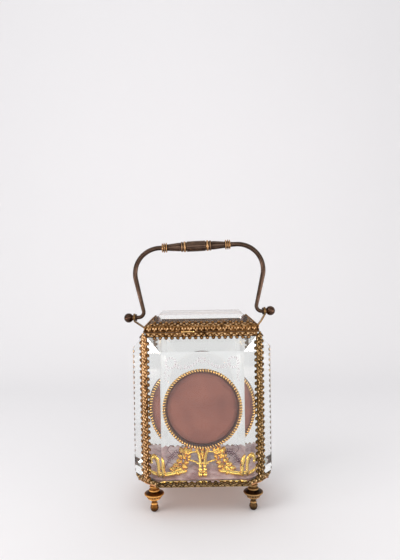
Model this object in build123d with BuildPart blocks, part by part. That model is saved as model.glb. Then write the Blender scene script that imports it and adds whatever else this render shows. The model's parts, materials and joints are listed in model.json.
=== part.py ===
from build123d import *

import os
from math import asin, atan2, cos, degrees, hypot, radians, sin, tan

# Glass watch display case: X to the right, Y to the back, Z up, millimetres.
# The origin is on the floor, in the middle of the case's plan.

os.makedirs("parts", exist_ok=True)

# Case, measured to the outer edges of its glass
HALF_X = 40.4
HALF_Y = 30.4
GLASS_Z0 = 22.8
GLASS_Z1 = 127.4
EDGE_T = 1.6
BEVEL_W = 11.7
BEVEL_RISE = 9.2
FOOT_BEVEL_W = 4.3

# Brass strips
STRIP_T = 0.6
STRIP_W = 4.0
TOOTH_R = 1.2
TOOTH_PITCH = 4.1
TOOTH_OUT = 0.1
RIB_CLEAR = 1.3
RIB_R = 1.25
RIB_OUT = 0.3
CORNER_CAP = 1.25
RETURN_T = 0.5
RETURN_W = 2.2
THUMB_NOTCH = (-4.0, 3.6, 1.2)

# Base, cushion and feet
BASE_T = 1.0
CUSHION_GAP = 0.35
FOOT_INSET = 5.1
FOOT_STUD_R = 1.25
NUT_R = 2.6
NUT_T = 0.9

# Lid, measured to the outer edges of its glass
LID_HALF_X = 39.7
LID_Y0 = -29.9
LID_Y1 = 30.4
LID_Z0 = 128.6
LID_EDGE_T = 3.0
LID_BEVEL_W = 9.4
LID_BEVEL_RISE = 7.7
LID_RIM_DROP = 0.5
LIP_X = (-14.0, -5.0)
LIP_OUT = 1.3

# Hinge at the back
HINGE_Y = 33.0
HINGE_Z = 128.1
KNUCKLE_R = 1.2
PIN_R = 0.6
PIN_BORE_R = 0.65
HINGE_HALF = 13.0
LID_KNUCKLE_HALF = 4.8
KNUCKLE_GAP = 0.2
LEAF_T = 0.45

# Handle: its own frame is turned a little, the right side higher, as the case in the photo has it
BAIL_TILT = 2.1
BAIL_X = -1.0
BAIL_Z = 137.7
JOURNAL_R = 1.45
EYE_BORE_R = 1.52
EYE_R = 3.1
EYE_AT = (48.7, 50.0)
COLLAR_AT = (47.5, 48.5)
COLLAR_R = 2.6
BALL_AT = 53.75
BALL_R = 3.55
BALL_NECK_R = 2.0
JOURNAL_END = 52.2
GRIP_H = 51.7
FOOT_BEND_R = 4.0
TOP_BEND_R = 19.5
LEG_TOP_R = 1.8
WIRE_R = 2.0
GRIP_HALF = 26.0
TENON_R = 1.2
TENON_L = 12.0
TENON_GAP = 0.05

# Watch holder: its own frame leans back, with its origin in the middle of the ring's front
RING_Y = -9.0
RING_Z = 69.0
LEAN = 2.5
ROPE_R = 1.3
ROPE_MID_R = 28.3
DRUM_R = 28.6
DRUM_WALL = 1.2
DRUM_DEPTH = 4.0
DRUM_FLOOR = 0.6
PAD_T = 1.8
STAND_FOOT = (-0.5, -25.0, 26.4)
STAND_LEAN = 46.0
STAND_T = 2.0
CURL_FRONT = (-0.5, -27.4, 26.2)
CURL_T = 1.8
CURL_FOOT = 4.4


def sub(a, b):
    return tuple(p - q for p, q in zip(a, b))


def along(point, *steps):
    """The point moved by several (direction, distance) steps."""
    out = list(point)
    for direction, distance in steps:
        out = [o + d * distance for o, d in zip(out, direction)]
    return tuple(out)


def bevel_directions(face, edge, width, rise):
    """Of a bevel between a face and its edge: the way up the slope, and the outward normal."""
    length = hypot(width, rise)
    up = tuple((-width * e + rise * f) / length for e, f in zip(edge, face))
    out = tuple((rise * e + width * f) / length for e, f in zip(edge, face))
    return up, out


def bevel_plane(origin, face, edge, width, rise):
    """A plane on the bevel: X runs along the edge, Y up the slope, Z out of the glass."""
    up, out = bevel_directions(face, edge, width, rise)
    x_dir = Vector(*up).cross(Vector(*out))
    return Plane(origin=origin, x_dir=x_dir, z_dir=out)


def tooth_places(length, slope):
    """The middles of the teeth along a strip whose ends are cut back at the mitres."""
    room = length / 2 - STRIP_W * slope - TOOTH_R
    count = int(room / TOOTH_PITCH)
    return [(TOOTH_PITCH * i, STRIP_W + TOOTH_OUT) for i in range(-count, count + 1)]


def flange_outline(length, slope, clear=0):
    """The face of a toothed strip on a bevel; its ends follow the mitres and stay clear of the corner bead."""
    Polygon(
        (-length / 2, 0),
        (length / 2, 0),
        (length / 2 - STRIP_W * slope, STRIP_W),
        (-length / 2 + STRIP_W * slope, STRIP_W),
        align=None,
    )
    with Locations(*tooth_places(length, slope)):
        Circle(TOOTH_R)
    if clear:
        with Locations((-length / 2, 0), (length / 2, 0)):
            Rectangle(2 * clear, 3 * STRIP_W, mode=Mode.SUBTRACT)


def save(part, name):
    part.label = name
    export_step(part, f"parts/{name}.step")


MITRE = BEVEL_W / hypot(BEVEL_W, BEVEL_RISE)
LID_MITRE = LID_BEVEL_W / hypot(LID_BEVEL_W, LID_BEVEL_RISE)
UP = (0, 0, 1)
DOWN = (0, 0, -1)
WALLS = {
    "front": ((0, -1, 0), (1, 0, 0), HALF_X, HALF_Y),
    "back": ((0, 1, 0), (-1, 0, 0), HALF_X, HALF_Y),
    "left": ((-1, 0, 0), (0, -1, 0), HALF_Y, HALF_X),
    "right": ((1, 0, 0), (0, 1, 0), HALF_Y, HALF_X),
}
GLASS_MID = (GLASS_Z0 + GLASS_Z1) / 2
BASE_Z = GLASS_Z0 - BASE_T
# The plates' lower bevel is narrower, so their lower edge is thick and stands out by FOOT_OUT
FOOT_CUT = BEVEL_W - FOOT_BEVEL_W
FOOT_OUT = FOOT_CUT * BEVEL_RISE / BEVEL_W
FULL_H = GLASS_Z1 - GLASS_Z0 + FOOT_CUT
FULL_MID = GLASS_Z1 - FULL_H / 2


# Glass walls: flat inside, mitred to each other at the corners, bevelled all round, cut off at the base
def glass_wall(name):
    face, side, half, off = WALLS[name]

    def level(out):
        return Plane(origin=along((0, 0, FULL_MID), (face, out)), x_dir=side, z_dir=face)

    with BuildPart() as wall:
        with BuildSketch(level(off - EDGE_T)):
            Rectangle(2 * (half - EDGE_T), FULL_H)
        with BuildSketch(level(off)):
            Rectangle(2 * half, FULL_H)
        loft(ruled=True)
        with BuildSketch(level(off)):
            Rectangle(2 * half, FULL_H)
        with BuildSketch(level(off + BEVEL_RISE)):
            Rectangle(2 * (half - BEVEL_W), FULL_H - 2 * BEVEL_W)
        loft(ruled=True)
        split(bisect_by=Plane.XY.offset(GLASS_Z0), keep=Keep.TOP)
    save(wall.part, f"glass_{name}")


# Corner posts: two toothed flanges on the bevels, a bead on the corner, a small cap at each end
def corner_post(name, sx, sy):
    corner = (sx * HALF_X, sy * HALF_Y, GLASS_MID)
    x_out = (sx, 0, 0)
    y_out = (0, sy, 0)
    slope_a = bevel_directions(y_out, x_out, BEVEL_W, BEVEL_RISE)[0]
    slope_b = bevel_directions(x_out, y_out, BEVEL_W, BEVEL_RISE)[0]
    low = GLASS_Z0
    high = GLASS_Z1 + RETURN_T
    with BuildPart() as post:
        with BuildSketch(Plane.XY.offset(low)):
            with Locations((sx * (HALF_X + RIB_OUT), sy * (HALF_Y + RIB_OUT))):
                Circle(RIB_R)
        extrude(amount=high - low)
        with BuildSketch(Plane.XY.offset(low)):
            with BuildLine():
                Polyline(
                    corner[:2],
                    along(corner, (slope_a, STRIP_W))[:2],
                    along(corner, (x_out, -STRIP_W), (y_out, -STRIP_W))[:2],
                    along(corner, (slope_b, STRIP_W))[:2],
                    close=True,
                )
            make_face()
        extrude(amount=high - low, mode=Mode.SUBTRACT)
        for face, edge in ((y_out, x_out), (x_out, y_out)):
            with BuildSketch(bevel_plane((*corner[:2], FULL_MID), face, edge, BEVEL_W, BEVEL_RISE)):
                flange_outline(FULL_H, MITRE)
            extrude(amount=STRIP_T)
        with BuildSketch(Plane.XY.offset(low)):
            Rectangle(4 * HALF_X, 4 * HALF_X)
        extrude(amount=-2 * FOOT_CUT, mode=Mode.SUBTRACT)
        with BuildSketch(Plane.XY.offset(GLASS_Z1)):
            centre = STRIP_T / 2 - CORNER_CAP / 2
            with Locations((sx * (HALF_X + centre), sy * (HALF_Y + centre))):
                Rectangle(CORNER_CAP + STRIP_T, CORNER_CAP + STRIP_T)
        extrude(amount=RETURN_T)
    save(post.part, f"corner_post_{name}")


# Rails: a toothed flange on the bevel, with a return over or under the edge
def top_rail(name):
    face, side, half, off = WALLS[name]
    origin = along((0, 0, GLASS_Z1), (face, off))
    length = 2 * (half - CORNER_CAP) - 0.1
    if name in ("left", "right"):
        length = 2 * (half - RETURN_W) - 0.1
    with BuildPart() as rail:
        with BuildSketch(bevel_plane(origin, face, UP, BEVEL_W, BEVEL_RISE)):
            flange_outline(2 * half, MITRE, RIB_CLEAR)
        extrude(amount=STRIP_T)
        with BuildSketch(Plane(origin=origin, x_dir=side, z_dir=UP)):
            with Locations((0, (RETURN_W - STRIP_T) / 2)):
                Rectangle(length, RETURN_W + STRIP_T)
        extrude(amount=RETURN_T)
        if name == "front":
            low, high, deep = THUMB_NOTCH
            with BuildSketch(Plane.XY.offset(GLASS_Z1)):
                with Locations(((low + high) / 2, -HALF_Y - STRIP_T + deep / 2)):
                    Rectangle(high - low, deep)
            extrude(amount=RETURN_T, mode=Mode.SUBTRACT)
    save(rail.part, f"top_rail_{name}")


def bottom_rail(name):
    face, side, half, off = WALLS[name]
    width = 2 * (half - FOOT_CUT)
    origin = along((0, 0, GLASS_Z0), (face, off + FOOT_OUT))
    with BuildPart() as rail:
        with BuildSketch(bevel_plane(origin, face, DOWN, BEVEL_W, BEVEL_RISE)):
            flange_outline(width, MITRE)
        extrude(amount=STRIP_T)
        lip = Plane(origin=along((0, 0, BASE_Z - RETURN_T), (face, off + FOOT_OUT)), x_dir=side, z_dir=UP)
        with BuildSketch(lip):
            with Locations((0, -STRIP_T / 2)):
                Rectangle(width, STRIP_T)
        extrude(amount=RETURN_T + BASE_T)
        with BuildSketch(lip):
            with Locations((0, RETURN_W / 2)):
                Rectangle(width, RETURN_W)
        extrude(amount=RETURN_T)
    save(rail.part, f"bottom_rail_{name}")


# Base plate, drilled for the feet
FOOT_PLACES = {
    f"{y_name}_{x_name}": (sx * (HALF_X - FOOT_INSET), sy * (HALF_Y - FOOT_INSET))
    for y_name, sy in (("front", -1), ("back", 1))
    for x_name, sx in (("left", -1), ("right", 1))
}
with BuildPart() as base_plate:
    with BuildSketch(Plane.XY.offset(BASE_Z)):
        sides = ((HALF_X, HALF_Y, 0), (HALF_X, HALF_Y, 180), (HALF_Y, HALF_X, 90), (HALF_Y, HALF_X, 270))
        for half, off, turn in sides:
            Polygon(
                (0, 0),
                (half, off),
                (half - FOOT_CUT, off + FOOT_OUT),
                (FOOT_CUT - half, off + FOOT_OUT),
                (-half, off),
                rotation=turn,
                align=None,
            )
        with Locations(*FOOT_PLACES.values()):
            Circle(FOOT_STUD_R + 0.05, mode=Mode.SUBTRACT)
    extrude(amount=BASE_T)
save(base_plate.part, "base_plate")


# Floor cushion: drawn in at its foot, fullest at mid-height and crowned, with pockets for the nuts
CUSHION_X = HALF_X - EDGE_T - CUSHION_GAP
CUSHION_Y = HALF_Y - EDGE_T - CUSHION_GAP
# Height, inset of the sides, the front and the back, corner radius: its front is low, under the stand
CUSHION_RINGS = (
    (0.05, 1.2, 1.2, 1.2, 3.0),
    (0.9, 0.0, 0.0, 0.0, 4.0),
    (1.7, 0.2, 1.0, 0.2, 4.5),
    (2.1, 0.5, 4.8, 0.4, 5.0),
    (3.9, 2.6, 8.4, 1.8, 6.0),
    (5.1, 11.0, 16.0, 8.0, 8.0),
)
with BuildPart() as floor_cushion:
    for height, inset_x, inset_front, inset_back, corner_r in CUSHION_RINGS:
        with BuildSketch(Plane(origin=(0, (inset_front - inset_back) / 2, GLASS_Z0 + height))):
            RectangleRounded(2 * (CUSHION_X - inset_x), 2 * CUSHION_Y - inset_front - inset_back, corner_r)
    loft(ruled=True)
    with BuildSketch(Plane.XY.offset(GLASS_Z0)):
        with Locations(*FOOT_PLACES.values()):
            Circle(NUT_R + 0.4)
    extrude(amount=NUT_T + 0.5, mode=Mode.SUBTRACT)
save(floor_cushion.part, "floor_cushion")


# Turned foot: neck rings, a wide flange, a beaded cone, a stem and a ball with a small flat
def foot(name, x, y):
    top = BASE_Z
    stud_z = GLASS_Z0 + NUT_T + 0.3
    with BuildPart() as turned:
        with BuildSketch(Plane(origin=(x, y, 0), x_dir=(1, 0, 0), z_dir=(0, -1, 0))):
            with BuildLine():
                Line((0, 0), (1.5, 0))
                ThreePointArc((1.5, 0), (3.0, 2.7), (1.9, 4.9))
                Polyline((1.9, 4.9), (2.3, 5.2), (2.3, 5.8), (1.8, 6.2))
                ThreePointArc((1.8, 6.2), (2.2, 7.6), (4.0, 8.9))
                ThreePointArc((4.0, 8.9), (4.7, 9.4), (4.6, 10.1))
                ThreePointArc((4.6, 10.1), (5.6, 10.9), (6.3, 12.1))
                ThreePointArc((6.3, 12.1), (7.0, 12.7), (6.3, 13.3))
                Polyline((6.3, 13.3), (4.3, 14.0), (3.4, 14.6))
                ThreePointArc((3.4, 14.6), (3.9, 15.3), (3.4, 16.0))
                Polyline((3.4, 16.0), (2.7, 16.4), (2.7, 17.2))
                ThreePointArc((2.7, 17.2), (3.3, 17.8), (2.7, 18.4))
                Polyline((2.7, 18.4), (2.3, 19.0), (2.7, 19.8), (2.7, top), (FOOT_STUD_R, top))
                Polyline((FOOT_STUD_R, top), (FOOT_STUD_R, stud_z), (0, stud_z), (0, 0))
            make_face()
        revolve(axis=Axis((x, y, 0), (0, 0, 1)))
    save(turned.part, f"foot_{name}")


with BuildPart() as foot_nuts:
    with BuildSketch(Plane.XY.offset(GLASS_Z0)):
        with Locations(*FOOT_PLACES.values()):
            RegularPolygon(NUT_R, 6)
            Circle(FOOT_STUD_R + 0.03, mode=Mode.SUBTRACT)
    extrude(amount=NUT_T)
save(foot_nuts.part, "foot_nuts")


# Lid glass
LID_Y_MID = (LID_Y0 + LID_Y1) / 2
LID_HALF_Y = (LID_Y1 - LID_Y0) / 2
LID_EDGE_Z = LID_Z0 + LID_EDGE_T
LID_TOP_Z = LID_EDGE_Z + LID_BEVEL_RISE


def lid_level(z):
    return Plane(origin=(0, LID_Y_MID, z))


with BuildPart() as lid_glass:
    with BuildSketch(lid_level(LID_Z0)):
        Rectangle(2 * LID_HALF_X, 2 * LID_HALF_Y)
    extrude(amount=LID_EDGE_T)
    with BuildSketch(lid_level(LID_EDGE_Z)):
        Rectangle(2 * LID_HALF_X, 2 * LID_HALF_Y)
    with BuildSketch(lid_level(LID_TOP_Z)):
        Rectangle(2 * (LID_HALF_X - LID_BEVEL_W), 2 * (LID_HALF_Y - LID_BEVEL_W))
    loft(ruled=True)
save(lid_glass.part, "lid_glass")


# Lid rails: an upright rim, a toothed flange on the bevel, and a return under the glass
def lid_rail(name):
    face, side, half, off = {
        "front": ((0, -1, 0), (1, 0, 0), LID_HALF_X, LID_HALF_Y),
        "back": ((0, 1, 0), (-1, 0, 0), LID_HALF_X, LID_HALF_Y),
        "left": ((-1, 0, 0), (0, -1, 0), LID_HALF_Y, LID_HALF_X),
        "right": ((1, 0, 0), (0, 1, 0), LID_HALF_Y, LID_HALF_X),
    }[name]
    rim_z = LID_Z0 - LID_RIM_DROP
    rim_h = LID_EDGE_T + LID_RIM_DROP + 0.3
    covers_corner = name in ("front", "back")
    rim_length = 2 * (half + STRIP_T) if covers_corner else 2 * half - 0.04
    return_length = 2 * half if covers_corner else 2 * (half - RETURN_W) - 0.04

    def edge_plane(z):
        return Plane(origin=along((0, LID_Y_MID, z), (face, off)), x_dir=side, z_dir=UP)

    with BuildPart() as rail:
        with BuildSketch(edge_plane(rim_z)):
            with Locations((0, -STRIP_T / 2)):
                Rectangle(rim_length, STRIP_T)
        extrude(amount=rim_h)
        with BuildSketch(edge_plane(rim_z)):
            with Locations((0, RETURN_W / 2)):
                Rectangle(return_length, RETURN_W)
        extrude(amount=LID_RIM_DROP)
        origin = along((0, LID_Y_MID, LID_EDGE_Z), (face, off))
        with BuildSketch(bevel_plane(origin, UP, face, LID_BEVEL_W, LID_BEVEL_RISE)):
            flange_outline(2 * half, LID_MITRE)
        extrude(amount=STRIP_T)
    save(rail.part, f"lid_rail_{name}")


with BuildPart() as thumb_lip:
    lip_y = LID_Y0 - STRIP_T
    with BuildSketch(Plane.XY.offset(LID_Z0 - LID_RIM_DROP)):
        with Locations(((LIP_X[0] + LIP_X[1]) / 2, lip_y - LIP_OUT / 2)):
            Rectangle(LIP_X[1] - LIP_X[0], LIP_OUT)
    extrude(amount=0.7)
    fillet(thumb_lip.edges().filter_by(Axis.Z).group_by(Axis.Y)[0], 0.8)
save(thumb_lip.part, "thumb_lip")


# Hinge: knuckles on a pin; the body's leaf lies on the sloping flange, the lid's on its upright rim
def hinge_side(y, z):
    return Plane(origin=(0, y, z), x_dir=(0, 1, 0), z_dir=(1, 0, 0))


def knuckle_spans():
    end = LID_KNUCKLE_HALF + KNUCKLE_GAP
    return ((-HINGE_HALF, -end), (end, HINGE_HALF))


BACK_UP, BACK_OUT = bevel_directions((0, 1, 0), UP, BEVEL_W, BEVEL_RISE)
LEAF_FOOT = along((0, HALF_Y, GLASS_Z1), (BACK_OUT, STRIP_T))
with BuildPart() as hinge_leaf_body:
    leaf_plane = Plane(origin=LEAF_FOOT, x_dir=(1, 0, 0), z_dir=BACK_OUT)
    with BuildSketch(leaf_plane):
        with Locations((0, STRIP_W / 2 + 0.2)):
            Rectangle(2 * HINGE_HALF, STRIP_W)
    extrude(amount=LEAF_T)
    for low, high in knuckle_spans():
        with BuildSketch(leaf_plane):
            with Locations(((low + high) / 2, 0.97)):
                Rectangle(high - low, 1.2)
        extrude(amount=1.5)
        with BuildSketch(Plane(origin=(low, HINGE_Y, HINGE_Z), x_dir=(0, 1, 0), z_dir=(1, 0, 0))):
            Circle(KNUCKLE_R)
        extrude(amount=high - low)
        with BuildSketch(Plane(origin=(low, HINGE_Y, HINGE_Z), x_dir=(0, 1, 0), z_dir=(1, 0, 0))):
            Circle(PIN_BORE_R)
        extrude(amount=high - low, mode=Mode.SUBTRACT)
save(hinge_leaf_body.part, "hinge_leaf_body")

with BuildPart() as hinge_leaf_lid:
    rim_y = LID_Y1 + STRIP_T
    lid_low = LID_Z0 - LID_RIM_DROP + 0.1
    knuckle_plane = Plane(origin=(-LID_KNUCKLE_HALF, HINGE_Y, HINGE_Z), x_dir=(0, 1, 0), z_dir=(1, 0, 0))
    with BuildSketch(Plane.XY.offset(lid_low)):
        with Locations((0, rim_y + LEAF_T / 2)):
            Rectangle(2 * LID_KNUCKLE_HALF, LEAF_T)
    extrude(amount=LID_EDGE_T)
    with BuildSketch(Plane.XY.offset(lid_low)):
        with Locations((0, rim_y + 0.7)):
            Rectangle(2 * LID_KNUCKLE_HALF, 1.4)
    extrude(amount=0.9)
    with BuildSketch(knuckle_plane):
        Circle(KNUCKLE_R)
    extrude(amount=2 * LID_KNUCKLE_HALF)
    with BuildSketch(knuckle_plane):
        Circle(PIN_BORE_R)
    extrude(amount=2 * LID_KNUCKLE_HALF, mode=Mode.SUBTRACT)
save(hinge_leaf_lid.part, "hinge_leaf_lid")

with BuildPart() as hinge_pin:
    pin_end = HINGE_HALF + 0.1
    with BuildSketch(Plane(origin=(-pin_end, HINGE_Y, HINGE_Z), x_dir=(0, 1, 0), z_dir=(1, 0, 0))):
        Circle(PIN_R)
    extrude(amount=2 * pin_end)
    for x, way in ((pin_end, 1), (-pin_end, -1)):
        with BuildSketch(Plane(origin=(x, HINGE_Y, HINGE_Z), x_dir=(0, 1, 0), z_dir=(way, 0, 0))):
            Circle(PIN_R + 0.35)
        extrude(amount=0.5, taper=20)
save(hinge_pin.part, "hinge_pin")


# Handle: a bail of two bent rods and a turned grip, in its own tilted frame
BAIL_O = (BAIL_X, 0, BAIL_Z)
BAIL_XDIR = (cos(radians(BAIL_TILT)), 0, sin(radians(BAIL_TILT)))
BAIL_ZDIR = (-sin(radians(BAIL_TILT)), 0, cos(radians(BAIL_TILT)))


def bail_point(x, z):
    return along(BAIL_O, (BAIL_XDIR, x), (BAIL_ZDIR, z))


def bail_face(s):
    """The bail's own plane seen from the front; with s = -1 its X runs to the left."""
    return Plane(origin=BAIL_O, x_dir=tuple(s * c for c in BAIL_XDIR), z_dir=(0, -s, 0))


def bail_square(s, x):
    """A plane square to the bail's own X, facing outwards on side s."""
    way = tuple(s * c for c in BAIL_XDIR)
    return Plane(origin=bail_point(s * x, 0), x_dir=(0, 1, 0), z_dir=way)


def bail_arm(name, s, lean, bend_x):
    """A rod that goes in through the eye, turns up, leans out, and bends over to the grip."""
    leg = (sin(radians(lean)), cos(radians(lean)))
    rest_h = GRIP_H - (FOOT_BEND_R + TOP_BEND_R) * (1 + leg[0])
    leg_l = rest_h / leg[1]
    leg_x = bend_x - FOOT_BEND_R * leg[1]
    leg_z = FOOT_BEND_R * (1 + leg[0])
    top_x = leg_x + leg_l * leg[0]
    top_z = leg_z + leg_l * leg[1]
    over_x = top_x - TOP_BEND_R * leg[1]
    plane = bail_face(s)
    with BuildPart() as arm:
        with BuildLine(plane):
            Line((JOURNAL_END, 0), (bend_x, 0))
            JernArc((bend_x, 0), (-1, 0), FOOT_BEND_R, -(90 + lean))
        with BuildSketch(bail_square(s, JOURNAL_END)):
            Circle(JOURNAL_R)
        sweep()
        leg_start = plane.from_local_coords((leg_x, leg_z, 0))
        leg_end = plane.from_local_coords((top_x, top_z, 0))
        leg_way = leg_end - leg_start
        with BuildSketch(Plane(origin=leg_start, z_dir=leg_way)):
            Circle(JOURNAL_R)
        with BuildSketch(Plane(origin=leg_end, z_dir=leg_way)):
            Circle(LEG_TOP_R)
        loft(ruled=True)
        with BuildLine(plane):
            JernArc((top_x, top_z), leg, TOP_BEND_R, 90 + lean)
        with BuildSketch(Plane(origin=leg_end, z_dir=leg_way)):
            Circle(LEG_TOP_R)
        sweep()
        over = plane.from_local_coords((over_x, GRIP_H, 0))
        inward = plane.from_local_coords((0, GRIP_H, 0)) - over
        with BuildSketch(Plane(origin=over, z_dir=inward)):
            Circle(LEG_TOP_R)
        grip_end = plane.from_local_coords((GRIP_HALF, GRIP_H, 0))
        with BuildSketch(Plane(origin=grip_end, z_dir=inward)):
            Circle(WIRE_R)
        loft(ruled=True)
        with BuildSketch(Plane(origin=grip_end, z_dir=inward)):
            Circle(TENON_R)
        extrude(amount=TENON_L)
    save(arm.part, f"bail_arm_{name}")


# Grip, from its middle outwards: barrel, two rings, a taper and three beads
with BuildPart() as handle_grip:
    bore = TENON_R + TENON_GAP
    inner = GRIP_HALF - TENON_L - 0.3
    grip_middle = bail_point(0, GRIP_H)
    with BuildSketch(Plane(origin=grip_middle, x_dir=BAIL_XDIR, z_dir=(0, -1, 0))):
        with BuildLine():
            Polyline((0, 4.05), (6.9, 4.05), (7.5, 3.6))
            ThreePointArc((7.5, 3.6), (8.6, 4.1), (9.7, 3.4))
            ThreePointArc((9.7, 3.4), (10.7, 3.9), (11.7, 3.3))
            Polyline((11.7, 3.3), (13.0, 3.3), (22.0, 2.5))
            ThreePointArc((22.0, 2.5), (22.65, 3.2), (23.4, 2.8))
            ThreePointArc((23.4, 2.8), (24.05, 3.3), (24.7, 2.8))
            ThreePointArc((24.7, 2.8), (25.4, 3.2), (GRIP_HALF, 2.5))
            Polyline((GRIP_HALF, 2.5), (GRIP_HALF, bore), (inner, bore), (inner, 0), (0, 0))
            mirror(about=Plane.YZ)
        make_face()
    revolve(axis=Axis(grip_middle, BAIL_XDIR))
save(handle_grip.part, "handle_grip")


def bail_collar(name, s):
    with BuildPart() as collar:
        with BuildSketch(bail_square(s, COLLAR_AT[0])):
            Circle(COLLAR_R)
            Circle(JOURNAL_R + 0.05, mode=Mode.SUBTRACT)
        extrude(amount=COLLAR_AT[1] - COLLAR_AT[0])
        fillet(collar.edges().filter_by(GeomType.CIRCLE).sort_by(SortBy.RADIUS)[-2:], 0.3)
    save(collar.part, f"bail_collar_{name}")


def ball_finial(name, s):
    neck_start = EYE_AT[1] + 0.2
    neck_end = BALL_AT - (BALL_R**2 - BALL_NECK_R**2) ** 0.5
    bore = JOURNAL_R + 0.05
    with BuildPart() as ball:
        with BuildSketch(bail_face(s)):
            with BuildLine():
                Polyline((neck_start, bore), (neck_start, BALL_NECK_R), (neck_end, BALL_NECK_R))
                ThreePointArc((neck_end, BALL_NECK_R), (BALL_AT, BALL_R), (BALL_AT + BALL_R, 0))
                Polyline((BALL_AT + BALL_R, 0), (JOURNAL_END + 0.2, 0), (JOURNAL_END + 0.2, bore), (neck_start, bore))
            make_face()
        revolve(axis=Axis(BAIL_O, BAIL_XDIR))
    save(ball.part, f"ball_finial_{name}")


# Brackets: a strap soldered on the side rail's flange bends out and up to an eye for the handle
def handle_bracket(name, s):
    x_out = (s, 0, 0)
    slope, out = bevel_directions(x_out, UP, BEVEL_W, BEVEL_RISE)
    foot_top = along((s * HALF_X, 0, GLASS_Z1), (out, STRIP_T))
    eye = bail_point(s * (EYE_AT[0] + EYE_AT[1]) / 2, 0)
    rise = sub(eye, foot_top)
    strap_t = 1.0
    strap_w = 4.0
    side = Plane(origin=foot_top, x_dir=x_out, z_dir=(0, -s, 0))
    down = (s * slope[0], slope[2])
    away = (s * out[0], out[2])

    def on_flange(t, n):
        return (t * down[0] + n * away[0], t * down[1] + n * away[1])

    foot_end = on_flange(3.9, strap_t / 2)
    foot_bend = on_flange(0.9, strap_t / 2)
    shoulder = (s * rise[0] * 0.62, rise[2] * 0.36)
    neck = (s * rise[0], rise[2] - EYE_R + 0.4)
    with BuildPart() as bracket:
        with BuildSketch(side):
            with BuildLine():
                Polyline(foot_end, foot_bend, shoulder, neck)
            trace(line_width=strap_t)
        extrude(amount=strap_w / 2, both=True)
        with BuildSketch(bail_square(s, EYE_AT[0])):
            Circle(EYE_R)
        extrude(amount=EYE_AT[1] - EYE_AT[0])
        with BuildSketch(bail_square(s, EYE_AT[0] - 1)):
            Circle(EYE_BORE_R)
        extrude(amount=EYE_AT[1] - EYE_AT[0] + 2, mode=Mode.SUBTRACT)
        with BuildSketch(Plane(origin=foot_top, x_dir=(0, 1, 0), z_dir=out)):
            Rectangle(2 * strap_w, 4 * strap_w)
        extrude(amount=-STRIP_T, mode=Mode.SUBTRACT)
    save(bracket.part, f"handle_bracket_{name}")


# Watch holder, in its own leaning frame: X to the right, Y up the ring, Z out of its front
RING_O = (0, RING_Y, RING_Z)
RING_OUT = (0, -cos(radians(LEAN)), sin(radians(LEAN)))


def holder_level(z):
    return Plane(origin=along(RING_O, (RING_OUT, z)), x_dir=(1, 0, 0), z_dir=RING_OUT)


with BuildPart() as bezel_rope:
    rope_start = Plane(origin=RING_O, x_dir=(1, 0, 0), z_dir=(0, -sin(radians(LEAN)), -cos(radians(LEAN))))
    with BuildSketch(rope_start):
        with Locations((ROPE_MID_R, 0)):
            Circle(ROPE_R)
    revolve(axis=Axis(RING_O, RING_OUT))
save(bezel_rope.part, "bezel_rope")

with BuildPart() as holder_drum:
    with BuildSketch(holder_level(-DRUM_DEPTH)):
        Circle(DRUM_R)
        Circle(DRUM_R - DRUM_WALL, mode=Mode.SUBTRACT)
    extrude(amount=DRUM_DEPTH - ROPE_R)
save(holder_drum.part, "holder_drum")

with BuildPart() as holder_back:
    with BuildSketch(holder_level(-DRUM_DEPTH)):
        Circle(DRUM_R)
    extrude(amount=-DRUM_FLOOR)
save(holder_back.part, "holder_back")

with BuildPart() as watch_pad:
    pad_r = DRUM_R - DRUM_WALL - 0.1
    pad_plane = Plane(
        origin=along(RING_O, (RING_OUT, -DRUM_DEPTH)),
        x_dir=(1, 0, 0),
        z_dir=(0, -sin(radians(LEAN)), -cos(radians(LEAN))),
    )
    shoulder_r = pad_r - 1.2
    shoulder_z = 1.5
    crown_r = (shoulder_r**2 + (PAD_T - shoulder_z) ** 2) / (2 * (PAD_T - shoulder_z))
    crown_mid = (shoulder_r / 2, PAD_T - crown_r + (crown_r**2 - shoulder_r**2 / 4) ** 0.5)
    with BuildSketch(pad_plane):
        with BuildLine():
            Polyline((0, PAD_T), (0, 0.02), (pad_r - 0.6, 0.02))
            ThreePointArc((pad_r - 0.6, 0.02), (pad_r, 0.7), (shoulder_r, shoulder_z))
            ThreePointArc((shoulder_r, shoulder_z), crown_mid, (0, PAD_T))
        make_face()
    revolve(axis=Axis(RING_O, RING_OUT))
save(watch_pad.part, "watch_pad")


# Stand: a casting that leans back from its front feet to the drum. X to the right, Y up its slope
STAND_UP = (0, sin(radians(STAND_LEAN)), cos(radians(STAND_LEAN)))
STAND_OUT = (0, -cos(radians(STAND_LEAN)), sin(radians(STAND_LEAN)))
STAND_PLANE = Plane(origin=STAND_FOOT, x_dir=(1, 0, 0), z_dir=STAND_OUT)
CURL_PLANE = Plane(origin=CURL_FRONT, x_dir=(1, 0, 0), z_dir=(0, -1, 0))


# The room of the drum and of the roped ring, cut out of the stand
with BuildPart() as holder_room:
    with BuildSketch(holder_level(-DRUM_DEPTH - DRUM_FLOOR)):
        Circle(DRUM_R + 0.02)
    extrude(amount=DRUM_DEPTH + DRUM_FLOOR + 4)
    with BuildSketch(holder_level(-ROPE_R - 0.1)):
        Circle(ROPE_MID_R + ROPE_R + 0.05)
    extrude(amount=2 * ROPE_R + 4)


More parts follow.
